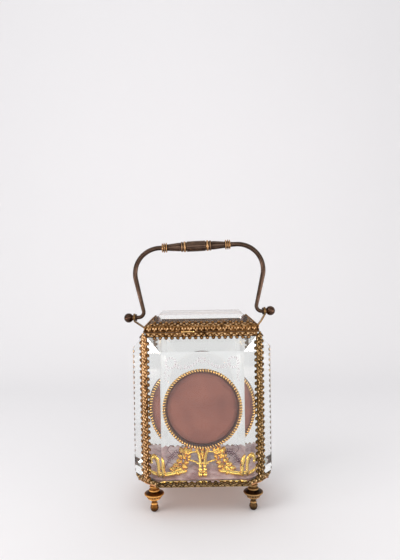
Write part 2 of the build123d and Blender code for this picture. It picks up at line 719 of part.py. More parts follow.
with BuildPart() as stand_stem:
    with BuildSketch(STAND_PLANE):
        Polygon((-5.2, 21.5), (-3.8, 15.0), (-3.6, 8.6), (3.6, 8.6), (3.8, 15.0), (5.2, 21.5), align=None)
        for x in (-2.8, 2.8):
            with Locations((x, 4.5)):
                Rectangle(2.0, 9.0)
            with Locations((x, 4.6), (x, 0.9)):
                Circle(1.4)
        with Locations((0, 2.7)):
            Rectangle(5.0, 1.4)
        with Locations((0, -5)):
            Rectangle(20, 10, mode=Mode.SUBTRACT)
    extrude(amount=-STAND_T)
    add(holder_room.part, mode=Mode.SUBTRACT)
save(stand_stem.part, "stand_stem")


def stand_scroll(name, s):
    """A leaf mass beside the stem with an arm along the floor, a standing curl, and two braces."""
    with BuildPart() as scroll:
        with BuildSketch(STAND_PLANE):
            with BuildLine():
                ThreePointArc((s * 12.0, 3.2), (s * 20.5, 2.4), (s * 27.4, 1.0))
                ThreePointArc((s * 27.4, 1.0), (s * 31.6, 1.6), (s * 34.4, 4.4))
            trace(line_width=1.7)
            with BuildLine():
                Line((s * 3.4, 10.2), (s * 10.4, 12.4))
            trace(line_width=1.5)
            with BuildLine():
                Line((s * 4.2, 17.6), (s * 11.0, 16.6))
            trace(line_width=1.7)
            for x, y, turn, long_r, short_r in (
                (12.6, 18.2, 50, 5.0, 3.4),
                (13.4, 12.2, 80, 4.8, 2.8),
                (17.6, 6.6, -34, 8.0, 3.8),
            ):
                with Locations(Location((s * x, y, 0), (0, 0, s * turn))):
                    Ellipse(long_r, short_r)
            with Locations((0, 12)):
                Rectangle(7.3, 7.2, mode=Mode.SUBTRACT)
            with Locations((0, 18.5)):
                Rectangle(9.3, 8.0, mode=Mode.SUBTRACT)
            with Locations((0, -5)):
                Rectangle(90, 10, mode=Mode.SUBTRACT)
        extrude(amount=-STAND_T)
        add(holder_room.part, mode=Mode.SUBTRACT)
        # Upright curl close behind the front glass, on a foot that runs back to the arm
        with BuildSketch(CURL_PLANE):
            with BuildLine():
                Line((s * 28.4, 0.3), (s * 28.5, 11.7))
                ThreePointArc((s * 28.5, 11.7), (s * 31.4, 15.2), (s * 34.3, 12.0))
            trace(line_width=1.9)
        extrude(amount=-CURL_T)
        with BuildSketch(CURL_PLANE):
            with Locations((s * 28.0, 0.7)):
                Rectangle(3.0, 1.6)
        extrude(amount=-CURL_FOOT)
    save(scroll.part, f"stand_scroll_{name}")


# Prop behind the ring, down to the cushion, riveted to the back disc
with BuildPart() as back_strut:
    strut_plane = Plane(origin=(0, 0, 0), x_dir=(0, 1, 0), z_dir=(1, 0, 0))
    back_face = along(RING_O, (RING_OUT, -DRUM_DEPTH - DRUM_FLOOR))
    ring_up = (0, sin(radians(LEAN)), cos(radians(LEAN)))
    pad_top = along(back_face, (ring_up, 9.0), (RING_OUT, -0.6))
    pad_low = along(back_face, (ring_up, -3.0), (RING_OUT, -0.6))
    with BuildSketch(strut_plane):
        with BuildLine():
            Polyline(pad_top[1:], pad_low[1:], (21.0, 28.6))
        trace(line_width=1.2)
    extrude(amount=3.0, both=True)
save(back_strut.part, "back_strut")

with BuildPart() as holder_rivets:
    with BuildSketch(holder_level(-DRUM_DEPTH - DRUM_FLOOR - 1.2)):
        with Locations((0, 1.5), (0, 6.5)):
            Circle(1.0)
    extrude(amount=-0.6, taper=25)
save(holder_rivets.part, "holder_rivets")


for wall_name in WALLS:
    glass_wall(wall_name)
    bottom_rail(wall_name)
    top_rail(wall_name)
    lid_rail(wall_name)
for corner_name, (foot_x, foot_y) in FOOT_PLACES.items():
    foot(corner_name, foot_x, foot_y)
    corner_post(corner_name, 1 if foot_x > 0 else -1, 1 if foot_y > 0 else -1)
for side_name, side_sign, leg_lean, foot_bend_x in (("left", -1, 10.8, 46.2), ("right", 1, 14.5, 47.4)):
    bail_arm(side_name, side_sign, leg_lean, foot_bend_x)
    bail_collar(side_name, side_sign)
    ball_finial(side_name, side_sign)
    handle_bracket(side_name, side_sign)
    stand_scroll(side_name, side_sign)
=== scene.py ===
import json
import math

import bmesh
import bpy
import numpy as np
from mathutils import Matrix, Vector, noise


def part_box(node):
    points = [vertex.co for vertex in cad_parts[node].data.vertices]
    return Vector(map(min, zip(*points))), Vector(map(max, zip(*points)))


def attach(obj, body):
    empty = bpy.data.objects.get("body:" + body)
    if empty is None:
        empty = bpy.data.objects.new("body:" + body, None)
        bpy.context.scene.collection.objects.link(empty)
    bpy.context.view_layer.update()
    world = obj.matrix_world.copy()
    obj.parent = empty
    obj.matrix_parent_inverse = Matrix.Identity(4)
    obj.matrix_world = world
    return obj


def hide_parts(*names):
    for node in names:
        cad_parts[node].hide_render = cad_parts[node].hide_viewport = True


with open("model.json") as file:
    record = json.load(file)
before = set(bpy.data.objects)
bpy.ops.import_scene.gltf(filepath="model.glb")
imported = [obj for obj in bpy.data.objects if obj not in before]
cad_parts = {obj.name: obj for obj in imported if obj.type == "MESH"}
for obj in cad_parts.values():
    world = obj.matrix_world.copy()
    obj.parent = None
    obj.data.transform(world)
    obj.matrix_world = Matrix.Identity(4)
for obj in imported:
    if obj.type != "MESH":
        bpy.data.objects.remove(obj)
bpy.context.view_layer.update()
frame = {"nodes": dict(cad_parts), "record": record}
NODES = frame["nodes"]
scene = bpy.context.scene
MM = 0.001


# Camera: the photograph's frame is 400 x 560, its focal length 500 pixels
FOCAL_PX = 500.0
LONG_SIDE_PX = 560.0
CAM_AT = (-2.3, -379.0, 170.8)
PITCH = -1.07
YAW = -0.3
ROLL = -0.85


def make_camera():
    data = bpy.data.cameras.new("camera")
    data.sensor_width = 36.0
    data.lens = FOCAL_PX / LONG_SIDE_PX * data.sensor_width
    data.clip_start = 0.01
    data.clip_end = 20.0
    cam = bpy.data.objects.new("camera", data)
    scene.collection.objects.link(cam)
    aim = Matrix.Rotation(math.radians(YAW), 4, "Z") @ Matrix.Rotation(math.radians(90 + PITCH), 4, "X")
    roll = Matrix.Rotation(math.radians(ROLL), 4, "Z")
    cam.matrix_world = Matrix.Translation(Vector(CAM_AT) * MM) @ aim @ roll
    scene.camera = cam


# Node helpers
def new_material(name):
    mat = bpy.data.materials.new(name)
    mat.use_nodes = True
    tree = mat.node_tree
    tree.nodes.clear()
    out = tree.nodes.new("ShaderNodeOutputMaterial")
    return mat, tree, out.inputs["Surface"]


def node(tree, kind, **values):
    """A shader node; values are its properties, or its inputs by name."""
    made = tree.nodes.new(kind)
    for key, value in values.items():
        if hasattr(made, key):
            setattr(made, key, value)
        else:
            made.inputs[key.replace("_", " ")].default_value = value
    return made


def link(tree, a, b):
    tree.links.new(a, b)


def textured(tree, where, kind, **values):
    """A texture read in the object's own coordinates."""
    made = node(tree, kind, **values)
    link(tree, where.outputs["Object"], made.inputs["Vector"])
    return made.outputs["Fac"]


def combine(tree, operation, *values):
    """A math node over sockets and numbers."""
    made = node(tree, "ShaderNodeMath", operation=operation)
    for socket, value in zip(made.inputs, values):
        if isinstance(value, float):
            socket.default_value = value
        else:
            link(tree, value, socket)
    return made.outputs[0]


def mix_shaders(tree, amount, first, second):
    made = tree.nodes.new("ShaderNodeMixShader")
    link(tree, amount, made.inputs[0])
    link(tree, first.outputs[0], made.inputs[1])
    link(tree, second.outputs[0], made.inputs[2])
    return made.outputs[0]


def add_bump(tree, shader, height, strength, distance):
    bumps = node(tree, "ShaderNodeBump", Strength=strength, Distance=distance)
    link(tree, height, bumps.inputs["Height"])
    link(tree, bumps.outputs["Normal"], shader.inputs["Normal"])


def ramp(tree, source, stops):
    made = tree.nodes.new("ShaderNodeValToRGB")
    elements = made.color_ramp.elements
    while len(elements) < len(stops):
        elements.new(0.5)
    for element, (at, colour) in zip(elements, stops):
        element.position = at
        element.color = (*colour, 1.0)
    link(tree, source, made.inputs["Fac"])
    return made.outputs["Color"]


def grey_ramp(tree, source, stops):
    return ramp(tree, source, [(at, (v, v, v)) for at, v in stops])


def srgb(*colour):
    """A colour given as it looks on screen, 0 to 255."""
    parts = [c / 255 for c in colour]
    return tuple(c / 12.92 if c <= 0.04045 else ((c + 0.055) / 1.055) ** 2.4 for c in parts)


GLASS_IOR = 1.52
THREAD = 0.0005


def glass_material(name, colour):
    """Clear glass, which shadow rays and diffuse rays pass straight through."""
    mat, tree, surface = new_material(name)
    glass = node(tree, "ShaderNodeBsdfPrincipled", Roughness=0.0, IOR=GLASS_IOR, Transmission_Weight=1.0)
    glass.inputs["Base Color"].default_value = (*colour, 1)
    clear = node(tree, "ShaderNodeBsdfTransparent", Color=(*colour, 1))
    path = tree.nodes.new("ShaderNodeLightPath")
    either = combine(tree, "MAXIMUM", path.outputs["Is Shadow Ray"], path.outputs["Is Diffuse Ray"])
    link(tree, mix_shaders(tree, either, glass, clear), surface)
    return mat


def metal_material(name, dark, mid, light, roughness, shade_and_wear):
    """Old metal: blotches of patina, fine grain, and, where the mesh stores its relief shade, painted shade
    in the hollows and painted highlights on the raised parts.
    """
    mat, tree, surface = new_material(name)
    shader = node(tree, "ShaderNodeBsdfPrincipled", Metallic=1.0)
    where = tree.nodes.new("ShaderNodeTexCoord")
    source = textured(tree, where, "ShaderNodeTexNoise", Scale=140.0, Detail=6.0, Roughness=0.6)
    grain = textured(tree, where, "ShaderNodeTexNoise", Scale=1600.0, Detail=4.0, Roughness=0.7)
    if shade_and_wear:
        # The stored relief shade picks the dark, middle or light colour: painted shade where the surface is
        # low, painted highlight where it is high.
        stored = node(tree, "ShaderNodeAttribute", attribute_name="shade_and_wear").outputs["Fac"]
        source = combine(tree, "MULTIPLY_ADD", stored, 0.7, combine(tree, "MULTIPLY", source, 0.45))
    stops = [(0.25, srgb(*dark)), (0.55, srgb(*mid)), (0.85, srgb(*light))]
    link(tree, ramp(tree, source, stops), shader.inputs["Base Color"])
    rough = grey_ramp(tree, grain, [(0.3, roughness[0]), (0.75, roughness[1])])
    link(tree, rough, shader.inputs["Roughness"])
    add_bump(tree, shader, grain, 0.3, 0.0002)
    link(tree, shader.outputs[0], surface)
    return mat


def satin_material(name, dark, light):
    """A plain weave, a little cloudy."""
    mat, tree, surface = new_material(name)
    shader = node(tree, "ShaderNodeBsdfPrincipled", Roughness=0.6, Specular_IOR_Level=0.15)
    where = tree.nodes.new("ShaderNodeTexCoord")
    looks = {"Scale": 1.0 / THREAD / 6.0, "Distortion": 0.6, "Detail": 2.0}
    waves = [textured(tree, where, "ShaderNodeTexWave", bands_direction=axis, **looks) for axis in "XZ"]
    weave = combine(tree, "MULTIPLY", *waves)
    patch = textured(tree, where, "ShaderNodeTexNoise", Scale=60.0, Detail=5.0)
    mixed = combine(tree, "MULTIPLY_ADD", weave, 0.25, patch)
    link(tree, ramp(tree, mixed, [(0.35, srgb(*dark)), (0.75, srgb(*light))]), shader.inputs["Base Color"])
    add_bump(tree, shader, weave, 0.1, 0.0002)
    link(tree, shader.outputs[0], surface)
    return mat


def silk_material(name):
    """Thin silk: lilac and rose, a soft sheen, fine threads and cloudy stains."""
    mat, tree, surface = new_material(name)
    shader = node(tree, "ShaderNodeBsdfPrincipled", Roughness=0.36, Sheen_Weight=0.25, Sheen_Roughness=0.35)
    where = tree.nodes.new("ShaderNodeTexCoord")
    looks = {"Scale": 90.0, "Detail": 5.0, "Roughness": 0.6, "Distortion": 0.8}
    cloud = textured(tree, where, "ShaderNodeTexNoise", **looks)
    stops = [(0.3, srgb(132, 98, 102)), (0.46, srgb(172, 136, 138))]
    stops += [(0.6, srgb(200, 172, 174)), (0.8, srgb(222, 206, 210))]
    link(tree, ramp(tree, cloud, stops), shader.inputs["Base Color"])
    thread = textured(tree, where, "ShaderNodeTexWave", bands_direction="X", Scale=520.0, Distortion=1.2)
    add_bump(tree, shader, thread, 0.15, 0.0001)
    link(tree, shader.outputs[0], surface)
    return mat


def frost_material(name, colour, strength):
    """Etched lines on glass: mostly clear, with a grain of pale frost."""
    mat, tree, surface = new_material(name)
    clear = node(tree, "ShaderNodeBsdfTransparent")
    frost = node(tree, "ShaderNodeBsdfDiffuse", Color=(*colour, 1))
    where = tree.nodes.new("ShaderNodeTexCoord")
    grain = textured(tree, where, "ShaderNodeTexNoise", Scale=2500.0, Detail=3.0)
    amount = grey_ramp(tree, grain, [(0.3, 0.3 * strength), (0.7, strength)])
    link(tree, mix_shaders(tree, amount, clear, frost), surface)
    return mat


# Stage: a floor that curves up behind into a backdrop, and soft lamps, all in metres
FLOOR_FRONT = -1.6
FLOOR_BACK = 0.35
CURVE_R = 0.5
CURVE_STEPS = 16
BACKDROP_TOP = 2.2
BACKDROP_HALF = 2.5
WARM = (1.0, 0.9, 0.84)


def make_stage():
    rows = [(FLOOR_FRONT, 0.0), (FLOOR_BACK, 0.0)]
    for i in range(1, CURVE_STEPS + 1):
        a = math.radians(90 * i / CURVE_STEPS)
        rows.append((FLOOR_BACK + CURVE_R * math.sin(a), CURVE_R * (1 - math.cos(a))))
    rows.append((FLOOR_BACK + CURVE_R, BACKDROP_TOP))
    mesh = bpy.data.meshes.new("backdrop")
    verts = [(x, y, z) for y, z in rows for x in (-BACKDROP_HALF, BACKDROP_HALF)]
    faces = [(2 * i, 2 * i + 1, 2 * i + 3, 2 * i + 2) for i in range(len(rows) - 1)]
    mesh.from_pydata(verts, [], faces)
    for p in mesh.polygons:
        p.use_smooth = True
    obj = bpy.data.objects.new("backdrop", mesh)
    scene.collection.objects.link(obj)
    mat, tree, surface = new_material("backdrop")
    shader = node(tree, "ShaderNodeBsdfDiffuse", Color=(*srgb(238, 237, 239), 1))
    link(tree, shader.outputs[0], surface)
    mesh.materials.append(mat)


def area_lamp(name, at, to, size, watts, colour=(1, 1, 1)):
    data = bpy.data.lights.new(name, "AREA")
    data.shape = "RECTANGLE"
    data.size, data.size_y = size
    data.energy = watts
    data.color = colour
    lamp = bpy.data.objects.new(name, data)
    lamp.location = at
    lamp.rotation_euler = (Vector(to) - Vector(at)).to_track_quat("-Z", "Y").to_euler()
    scene.collection.objects.link(lamp)


def make_light():
    world = bpy.data.worlds.new("world")
    world.use_nodes = True
    back = world.node_tree.nodes["Background"]
    back.inputs["Color"].default_value = (1, 1, 1, 1)
    back.inputs["Strength"].default_value = 0.53
    scene.world = world
    area_lamp("key", (-0.9, -0.7, 1.2), (0, 0, 0.08), (0.7, 0.7), 6.2)
    area_lamp("top", (0.1, 0.1, 1.6), (0, 0.1, 0), (1.6, 1.2), 3.1)
    area_lamp("fill", (0.2, -1.25, 0.38), (0, 0, 0.04), (1.8, 0.7), 6.6)
    for name, x in (("low_left", -0.5), ("low_right", 0.5)):
        area_lamp(name, (x, -0.25, 0.07), (0, 0, 0.01), (0.4, 0.09), 1.3, WARM)


# Geometry helpers: everything is drawn in millimetres and turned into metres at the end
FORWARD = (0, -1, 0)


def unit(v):
    v = np.asarray(v, float)
    return v / np.linalg.norm(v)


def clamp(value, low=0.0, high=1.0):
    return max(low, min(high, value))


def make_piece(name, parts, body, material, replaces=(), sharp=40):
    """One object from several (vertices, faces, relief shade) parts; the relief shade, painted shade and
    highlights with some wear, goes into a vertex layer; equal points are merged.
    """
    bm = bmesh.new()
    # This layer holds painted shade and painted highlights for the metal's colour.
    layer = bm.verts.layers.float.new("shade_and_wear")
    for part in parts:
        points, faces = part[0], part[1]
        shade_and_wear = part[2] if len(part) > 2 else None
        made = []
        for i, p in enumerate(points):
            v = bm.verts.new(Vector(p) * MM)
            v[layer] = 0.3 if shade_and_wear is None else float(shade_and_wear[i])
            made.append(v)
        for face in faces:
            corners = [made[i] for i in face]
            if len(set(face)) >= 3:
                bm.faces.new(corners)
        bmesh.ops.remove_doubles(bm, verts=made, dist=2e-7)
    bmesh.ops.dissolve_degenerate(bm, edges=bm.edges, dist=1e-8)
    bmesh.ops.recalc_face_normals(bm, faces=bm.faces)
    limit = math.radians(sharp)
    for e in bm.edges:
        if len(e.link_faces) == 2 and e.calc_face_angle(0.0) > limit:
            e.smooth = False
    mesh = bpy.data.meshes.new(name)
    bm.to_mesh(mesh)
    bm.free()
    for polygon in mesh.polygons:
        polygon.use_smooth = True
    mesh.materials.append(material)
    obj = bpy.data.objects.new(name, mesh)
    scene.collection.objects.link(obj)
    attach(obj, body)
    if replaces:
        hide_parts(*replaces)
    return obj


def sheet_solid(top, bottom, shade_and_wear):
    """A closed shell between two grids of points."""
    rows, cols = top.shape[:2]
    count = rows * cols
    points = np.concatenate([top.reshape(-1, 3), bottom.reshape(-1, 3)])
    faces = []

    def at(r, c, side):
        return side * count + r * cols + c

    for r in range(rows - 1):
        for c in range(cols - 1):
            faces.append((at(r, c, 0), at(r, c + 1, 0), at(r + 1, c + 1, 0), at(r + 1, c, 0)))
            faces.append((at(r, c, 1), at(r + 1, c, 1), at(r + 1, c + 1, 1), at(r, c + 1, 1)))
    for r in range(rows - 1):
        for c, flip in ((0, False), (cols - 1, True)):
            quad = (at(r, c, 0), at(r + 1, c, 0), at(r + 1, c, 1), at(r, c, 1))
            faces.append(quad[::-1] if flip else quad)
    for c in range(cols - 1):
        for r, flip in ((0, True), (rows - 1, False)):
            quad = (at(r, c, 0), at(r, c + 1, 0), at(r, c + 1, 1), at(r, c, 1))
            faces.append(quad[::-1] if flip else quad)
    low = shade_and_wear.reshape(-1)
    return points, faces, np.concatenate([low, low * 0 + 0.5])


def box_part(lo, hi):
    """A box between two corners, with its edges rounded."""
    lo, hi = np.array(lo, float), np.array(hi, float)
    bm = bmesh.new()
    bmesh.ops.create_cube(bm, size=1.0)
    for v in bm.verts:
        v.co = Vector((lo + hi) / 2 + np.array(v.co) * (hi - lo))
    bmesh.ops.bevel(bm, geom=bm.edges[:], offset=min(0.12, *(0.3 * (hi - lo))), segments=2, affect="EDGES")
    bm.verts.index_update()
    points = [np.array(v.co) for v in bm.verts]
    faces = [tuple(v.index for v in f.verts) for f in bm.faces]
    bm.free()
    return points, faces


def blank_grid(rows, cols):
    """The points of a top and of a bottom, and the relief shade, still all zero."""
    return np.zeros((rows, cols, 3)), np.zeros((rows, cols, 3)), np.zeros((rows, cols))


def ring_faces(rings, segments):
    """The quads between neighbouring rings of points."""
    faces = []
    for i in range(rings - 1):
        for k in range(segments):
            n = (k + 1) % segments
            faces.append((i * segments + k, i * segments + n, (i + 1) * segments + n, (i + 1) * segments + k))
    return faces


def revolve_part(profile, origin, axis, side, segments, wobble, shade_and_wear):
    """A lathe form: profile of (radius, height) along the axis; wobble(i, angle) scales the radius."""
    axis, side = unit(axis), unit(side)
    other = np.cross(axis, side)
    origin = np.array(origin, float)
    points, shade = [], []
    for i, (r, h) in enumerate(profile):
        for k in range(segments):
            a = 2 * math.pi * k / segments
            spoke = side * math.cos(a) + other * math.sin(a)
            points.append(origin + axis * h + spoke * r * wobble(i, a))
            shade.append(shade_and_wear(i, a))
    return points, ring_faces(len(profile), segments), shade


def between(pts, k, t):
    """A point of the Catmull-Rom curve from pts[k] to pts[k + 1]."""
    p0, p1, p2, p3 = pts[max(k - 1, 0)], pts[k], pts[k + 1], pts[min(k + 2, len(pts) - 1)]
    square = (2 * p0 - 5 * p1 + 4 * p2 - p3) * t**2
    return 0.5 * (2 * p1 + (p2 - p0) * t + square + (3 * p1 - p0 - 3 * p2 + p3) * t**3)


def smooth_profile(points, steps):
    """Rounds a profile's corners."""
    pts = [np.array(p, float) for p in points]
    return [between(pts, i, k / steps) for i in range(len(pts) - 1) for k in range(steps)] + [pts[-1]]


def spline(points, count):
    """A smooth line through a few points."""
    pts = [np.array(p, float) for p in points]
    out = []
    for i in range(count):
        t = (len(pts) - 1) * i / (count - 1)
        k = min(int(t), len(pts) - 2)
        out.append(between(pts, k, t - k))
    return out


def tube_part(path, radius, segments=12, lobes=0, depth=0.0, twist=0.0, shade=0.8, flat=1.0, normal=FORWARD):
    """A rod along a path of points; radius is a number or one per point, and its ends are closed."""
    path = [np.array(p, float) for p in path]
    count = len(path)
    radii = [radius] * count if np.isscalar(radius) else list(radius)
    points, vertex_shade = [], []
    tangents = [unit(path[min(i + 1, count - 1)] - path[max(i - 1, 0)]) for i in range(count)]
    first = np.array(normal, float)
    side = unit(first - tangents[0] * np.dot(first, tangents[0]))
    run = 0.0
    for i in range(count):
        side = unit(side - tangents[i] * np.dot(side, tangents[i]))
        other = np.cross(tangents[i], side)
        if i:
            run += np.linalg.norm(path[i] - path[i - 1])
        for k in range(segments):
            a = 2 * math.pi * k / segments
            wave = math.cos(lobes * a + twist * run)
            r = radii[i] + depth * wave
            points.append(path[i] + side * math.cos(a) * r * flat + other * math.sin(a) * r)
            # Painted shade in the grooves between lobes and painted highlights on their crests.
            vertex_shade.append(shade * (0.55 + 0.45 * wave) if lobes else shade)
    faces = ring_faces(count, segments)
    for i, order in ((0, -1), (count - 1, 1)):
        points.append(path[i])
        vertex_shade.append(shade)
        middle = len(points) - 1
        for k in range(segments):
            n = (k + 1) % segments
            faces.append((i * segments + k, i * segments + n, middle)[::order])
    return points, faces, vertex_shade


BALL_RINGS = 8
BALL_SEGMENTS = 12


def ball_part(centre, radius, shade):
    centre = np.array(centre, float)
    points = []
    for i in range(BALL_RINGS + 1):
        t = math.pi * i / BALL_RINGS
        for k in range(BALL_SEGMENTS):
            a = 2 * math.pi * k / BALL_SEGMENTS
            p = np.array((math.sin(t) * math.cos(a), math.sin(t) * math.sin(a), math.cos(t)))
            points.append(centre + p * radius)
    return points, ring_faces(BALL_RINGS + 1, BALL_SEGMENTS), [shade] * len(points)


# The case's own measures, in millimetres, as in the CAD
HALF_X = 40.4
HALF_Y = 30.4
GLASS_Z0 = 22.8
GLASS_Z1 = 127.4
BEVEL_W = 11.7
BEVEL_RISE = 9.2
FOOT_CUT = 7.4
FOOT_OUT = FOOT_CUT * BEVEL_RISE / BEVEL_W
BASE_T = 1.0
RETURN_T = 0.5
RETURN_W = 2.2
STRIP_T = 0.6
STRIP_W = 3.95
PITCH_MM = 4.1
MITRE = BEVEL_W / math.hypot(BEVEL_W, BEVEL_RISE)
LID_HALF_X = 39.7
LID_Y0 = -29.9
LID_Y1 = 30.4
LID_Z0 = 128.6
LID_EDGE_T = 3.0
LID_BEVEL_W = 9.4
LID_BEVEL_RISE = 7.7
LID_MITRE = LID_BEVEL_W / math.hypot(LID_BEVEL_W, LID_BEVEL_RISE)
UP = (0, 0, 1)
DOWN = (0, 0, -1)
WALLS = {
    "front": ((0, -1, 0), (1, 0, 0), HALF_X, HALF_Y),
    "back": ((0, 1, 0), (-1, 0, 0), HALF_X, HALF_Y),
    "left": ((-1, 0, 0), (0, -1, 0), HALF_Y, HALF_X),
    "right": ((1, 0, 0), (0, 1, 0), HALF_Y, HALF_X),
}


def bevel_frame(origin, face, edge, width, rise):
    face, edge = np.array(face, float), np.array(edge, float)
    length = math.hypot(width, rise)
    up = (rise * face - width * edge) / length
    out = (rise * edge + width * face) / length
    return np.array(origin, float), np.cross(up, out), up, out


# Stamped strips: a woven pattern of bosses and hollows, and an edge of deep knobs
TOOTH_HALF = 1.3
STRIP_HEIGHT = 0.8
KNOBS_FROM = 3.2
COLUMNS = (
    -2.05, -1.75, -1.45, -1.32, -1.28, -1.15, -0.95, -0.7, -0.35,
    0.0, 0.35, 0.7, 0.95, 1.15, 1.28, 1.32, 1.45, 1.75,
)
ROWS = 17
BAND_ROWS = 11
BAND_STEP = 0.34


def spot(d, v, at_d, at_v, size):
    """A round boss of height 1 around one place."""
    return math.exp(-(((d - at_d) ** 2 + (v - at_v) ** 2) / size ** 2) ** 1.5)


def strip_relief(d, v):
    """Height of the stamping above its ground, from 0 to 1."""
    side = PITCH_MM / 2 - abs(d)
    h = 0.5 + 0.5 * spot(d, v, 0, 1.15, 0.6) + 0.4 * spot(side, v, 0, 2.35, 0.55)
    hollows = 0.62 * spot(abs(d), v, 1.05, 1.7, 0.42) + 0.6 * spot(d, v, 0, 2.5, 0.5)
    h -= hollows + 0.5 * spot(side, v, 0, 0.95, 0.45)
    h -= 0.55 * math.exp(-(((v - 3.15) / 0.2) ** 2))
    if v > 3.3:
        h = 1.05 * math.exp(-((d / 0.85) ** 4) - ((v - 4.2) / 0.85) ** 4) - 0.3 * math.exp(-((d / 0.2) ** 2))
    return clamp(h)


def patina(p, size=1.3):
    """Uneven wear, the same wherever the strips are cut."""
    return 0.9 * noise.noise(Vector((p[0] / size, p[1] / size, p[2] / size)))


def strip_edge(d):
    if abs(d) > TOOTH_HALF:
        return STRIP_W - 0.75
    return STRIP_W + TOOTH_HALF * math.sqrt(max(0.0, 1 - (d / TOOTH_HALF) ** 2))


def strip_part(at, length, slope, low_cut=None, clear=0.0):
    """A strip on a bevel, with mitred ends."""
    origin, x_dir, y_dir, z_dir = at
    half = length / 2
    tiles = int(half / PITCH_MM) + 2
    columns = [(PITCH_MM * i + d, d) for i in range(-tiles, tiles + 1) for d in COLUMNS]
    inner = [c for c in columns if -half < c[0] < half]
    columns = [(-half, inner[0][1])] + inner + [(half, inner[-1][1])]
    room = half - STRIP_W * slope - 1.2
    top, bottom, shade_and_wear = blank_grid(ROWS, len(columns))
    low = -half if low_cut is None else low_cut
    for c, (u, d) in enumerate(columns):
        edge = strip_edge(d) if abs(u - d) < room else STRIP_W - 0.6
        for r in range(ROWS):
            v = edge * r / (ROWS - 1)
            left = max(low, -half + v * slope, -half + clear)
            right = min(half - v * slope, half - clear)
            h = strip_relief(d, v)
            rim = 0.5 if r in (0, ROWS - 1) else 1.0
            base = origin + x_dir * min(max(u, left), right) + y_dir * v
            top[r, c] = base + z_dir * (0.3 * rim + (STRIP_HEIGHT - 0.22) * h + 0.1)
            bottom[r, c] = base + z_dir * 0.02
            # Painted shade and highlights: low places of the stamping darker, high ones lighter, plus uneven
            # wear.
            shade_weight, wear = (0.85, 0.55) if v < KNOBS_FROM else (0.55, 0.2)
            shade_and_wear[r, c] = max(0.0, 0.02 + shade_weight * h + wear * patina(base))
    return sheet_solid(top, bottom, shade_and_wear)


def band_part(origin, x_dir, y_dir, z_dir, length, high):
    """A flat stamped band with straight edges: a border, and lozenges between beads."""
    origin, x_dir, y_dir, z_dir = (np.array(v, float) for v in (origin, x_dir, y_dir, z_dir))
    cols = max(8, int(length / BAND_STEP))
    top, bottom, shade_and_wear = blank_grid(BAND_ROWS, cols + 1)
    for c in range(cols + 1):
        u = -length / 2 + length * c / cols
        d = (u + PITCH_MM / 2) % PITCH_MM - PITCH_MM / 2
        for r in range(BAND_ROWS):
            v = high * r / (BAND_ROWS - 1)
            border = math.exp(-(((min(v, high - v) - 0.18) / 0.2) ** 2))
            y = (v / high - 0.5) * 2.4
            leaf = spot(abs(d), y, 1.0, 0.3, 0.55)
            bead = spot(d, y, 0, -0.3, 0.5)
            h = min(1.0, max(0.8 * border, leaf, bead))
            base = origin + x_dir * u + y_dir * v
            rim = 0.0 if r in (0, BAND_ROWS - 1) else 1.0
            top[r, c] = base + z_dir * (0.28 + 0.34 * h * rim)
            bottom[r, c] = base + z_dir * 0.01
            # Painted shade and highlights by height of the stamping, plus uneven wear.
            shade_and_wear[r, c] = max(0.0, 0.05 + 0.75 * h + 0.45 * patina(base))
    return sheet_solid(top, bottom, shade_and_wear)


def wall_box(face, side, off, u, w, z):
    """A box beside a wall: u along it, w outwards from off, z upwards."""
    face, side = np.array(face, float), np.array(side, float)
    a = side * u[0] + face * (off + w[0]) + np.array((0, 0, z[0]))
    b = side * u[1] + face * (off + w[1]) + np.array((0, 0, z[1]))
    return box_part(np.minimum(a, b), np.maximum(a, b))


def corner_plate(face, side, half, off, s):
    """A piece of strip low on a wall's bevel, between the corner strip and the lower one."""
    face, side = np.array(face, float), np.array(side, float) * s
    length = math.hypot(BEVEL_W, BEVEL_RISE)
    along_bevel = (face * BEVEL_RISE - side * BEVEL_W) / length
    out = (side * BEVEL_RISE + face * BEVEL_W) / length
    corner = side * half + face * off
    rows, cols = 9, 25
    top, bottom, shade_and_wear = blank_grid(rows, cols)
    for r in range(rows):
        w = 3.1 * r / (rows - 1)
        end = FOOT_CUT * length / BEVEL_W + 1.27 * w
        for c in range(cols):
            u = 3.3 + (end - 3.3) * c / (cols - 1)
            d = (u - 3.3) % PITCH_MM - PITCH_MM / 2
            h = strip_relief(d, w)
            rim = 0.0 if c == 0 or r in (0, rows - 1) else 1.0
            base = corner + along_bevel * u + np.array((0, 0, GLASS_Z0 + w))
            top[r, c] = base + out * (0.12 + 0.25 * rim + 0.45 * h * rim)
            bottom[r, c] = base + out * 0.02
            # Painted shade and highlights by height of the stamping.
            shade_and_wear[r, c] = 0.02 + 0.95 * h
    if np.dot(np.cross(along_bevel, UP), out) < 0:
        top, bottom, shade_and_wear = top[:, ::-1], bottom[:, ::-1], shade_and_wear[:, ::-1]
    return sheet_solid(top, bottom, shade_and_wear)


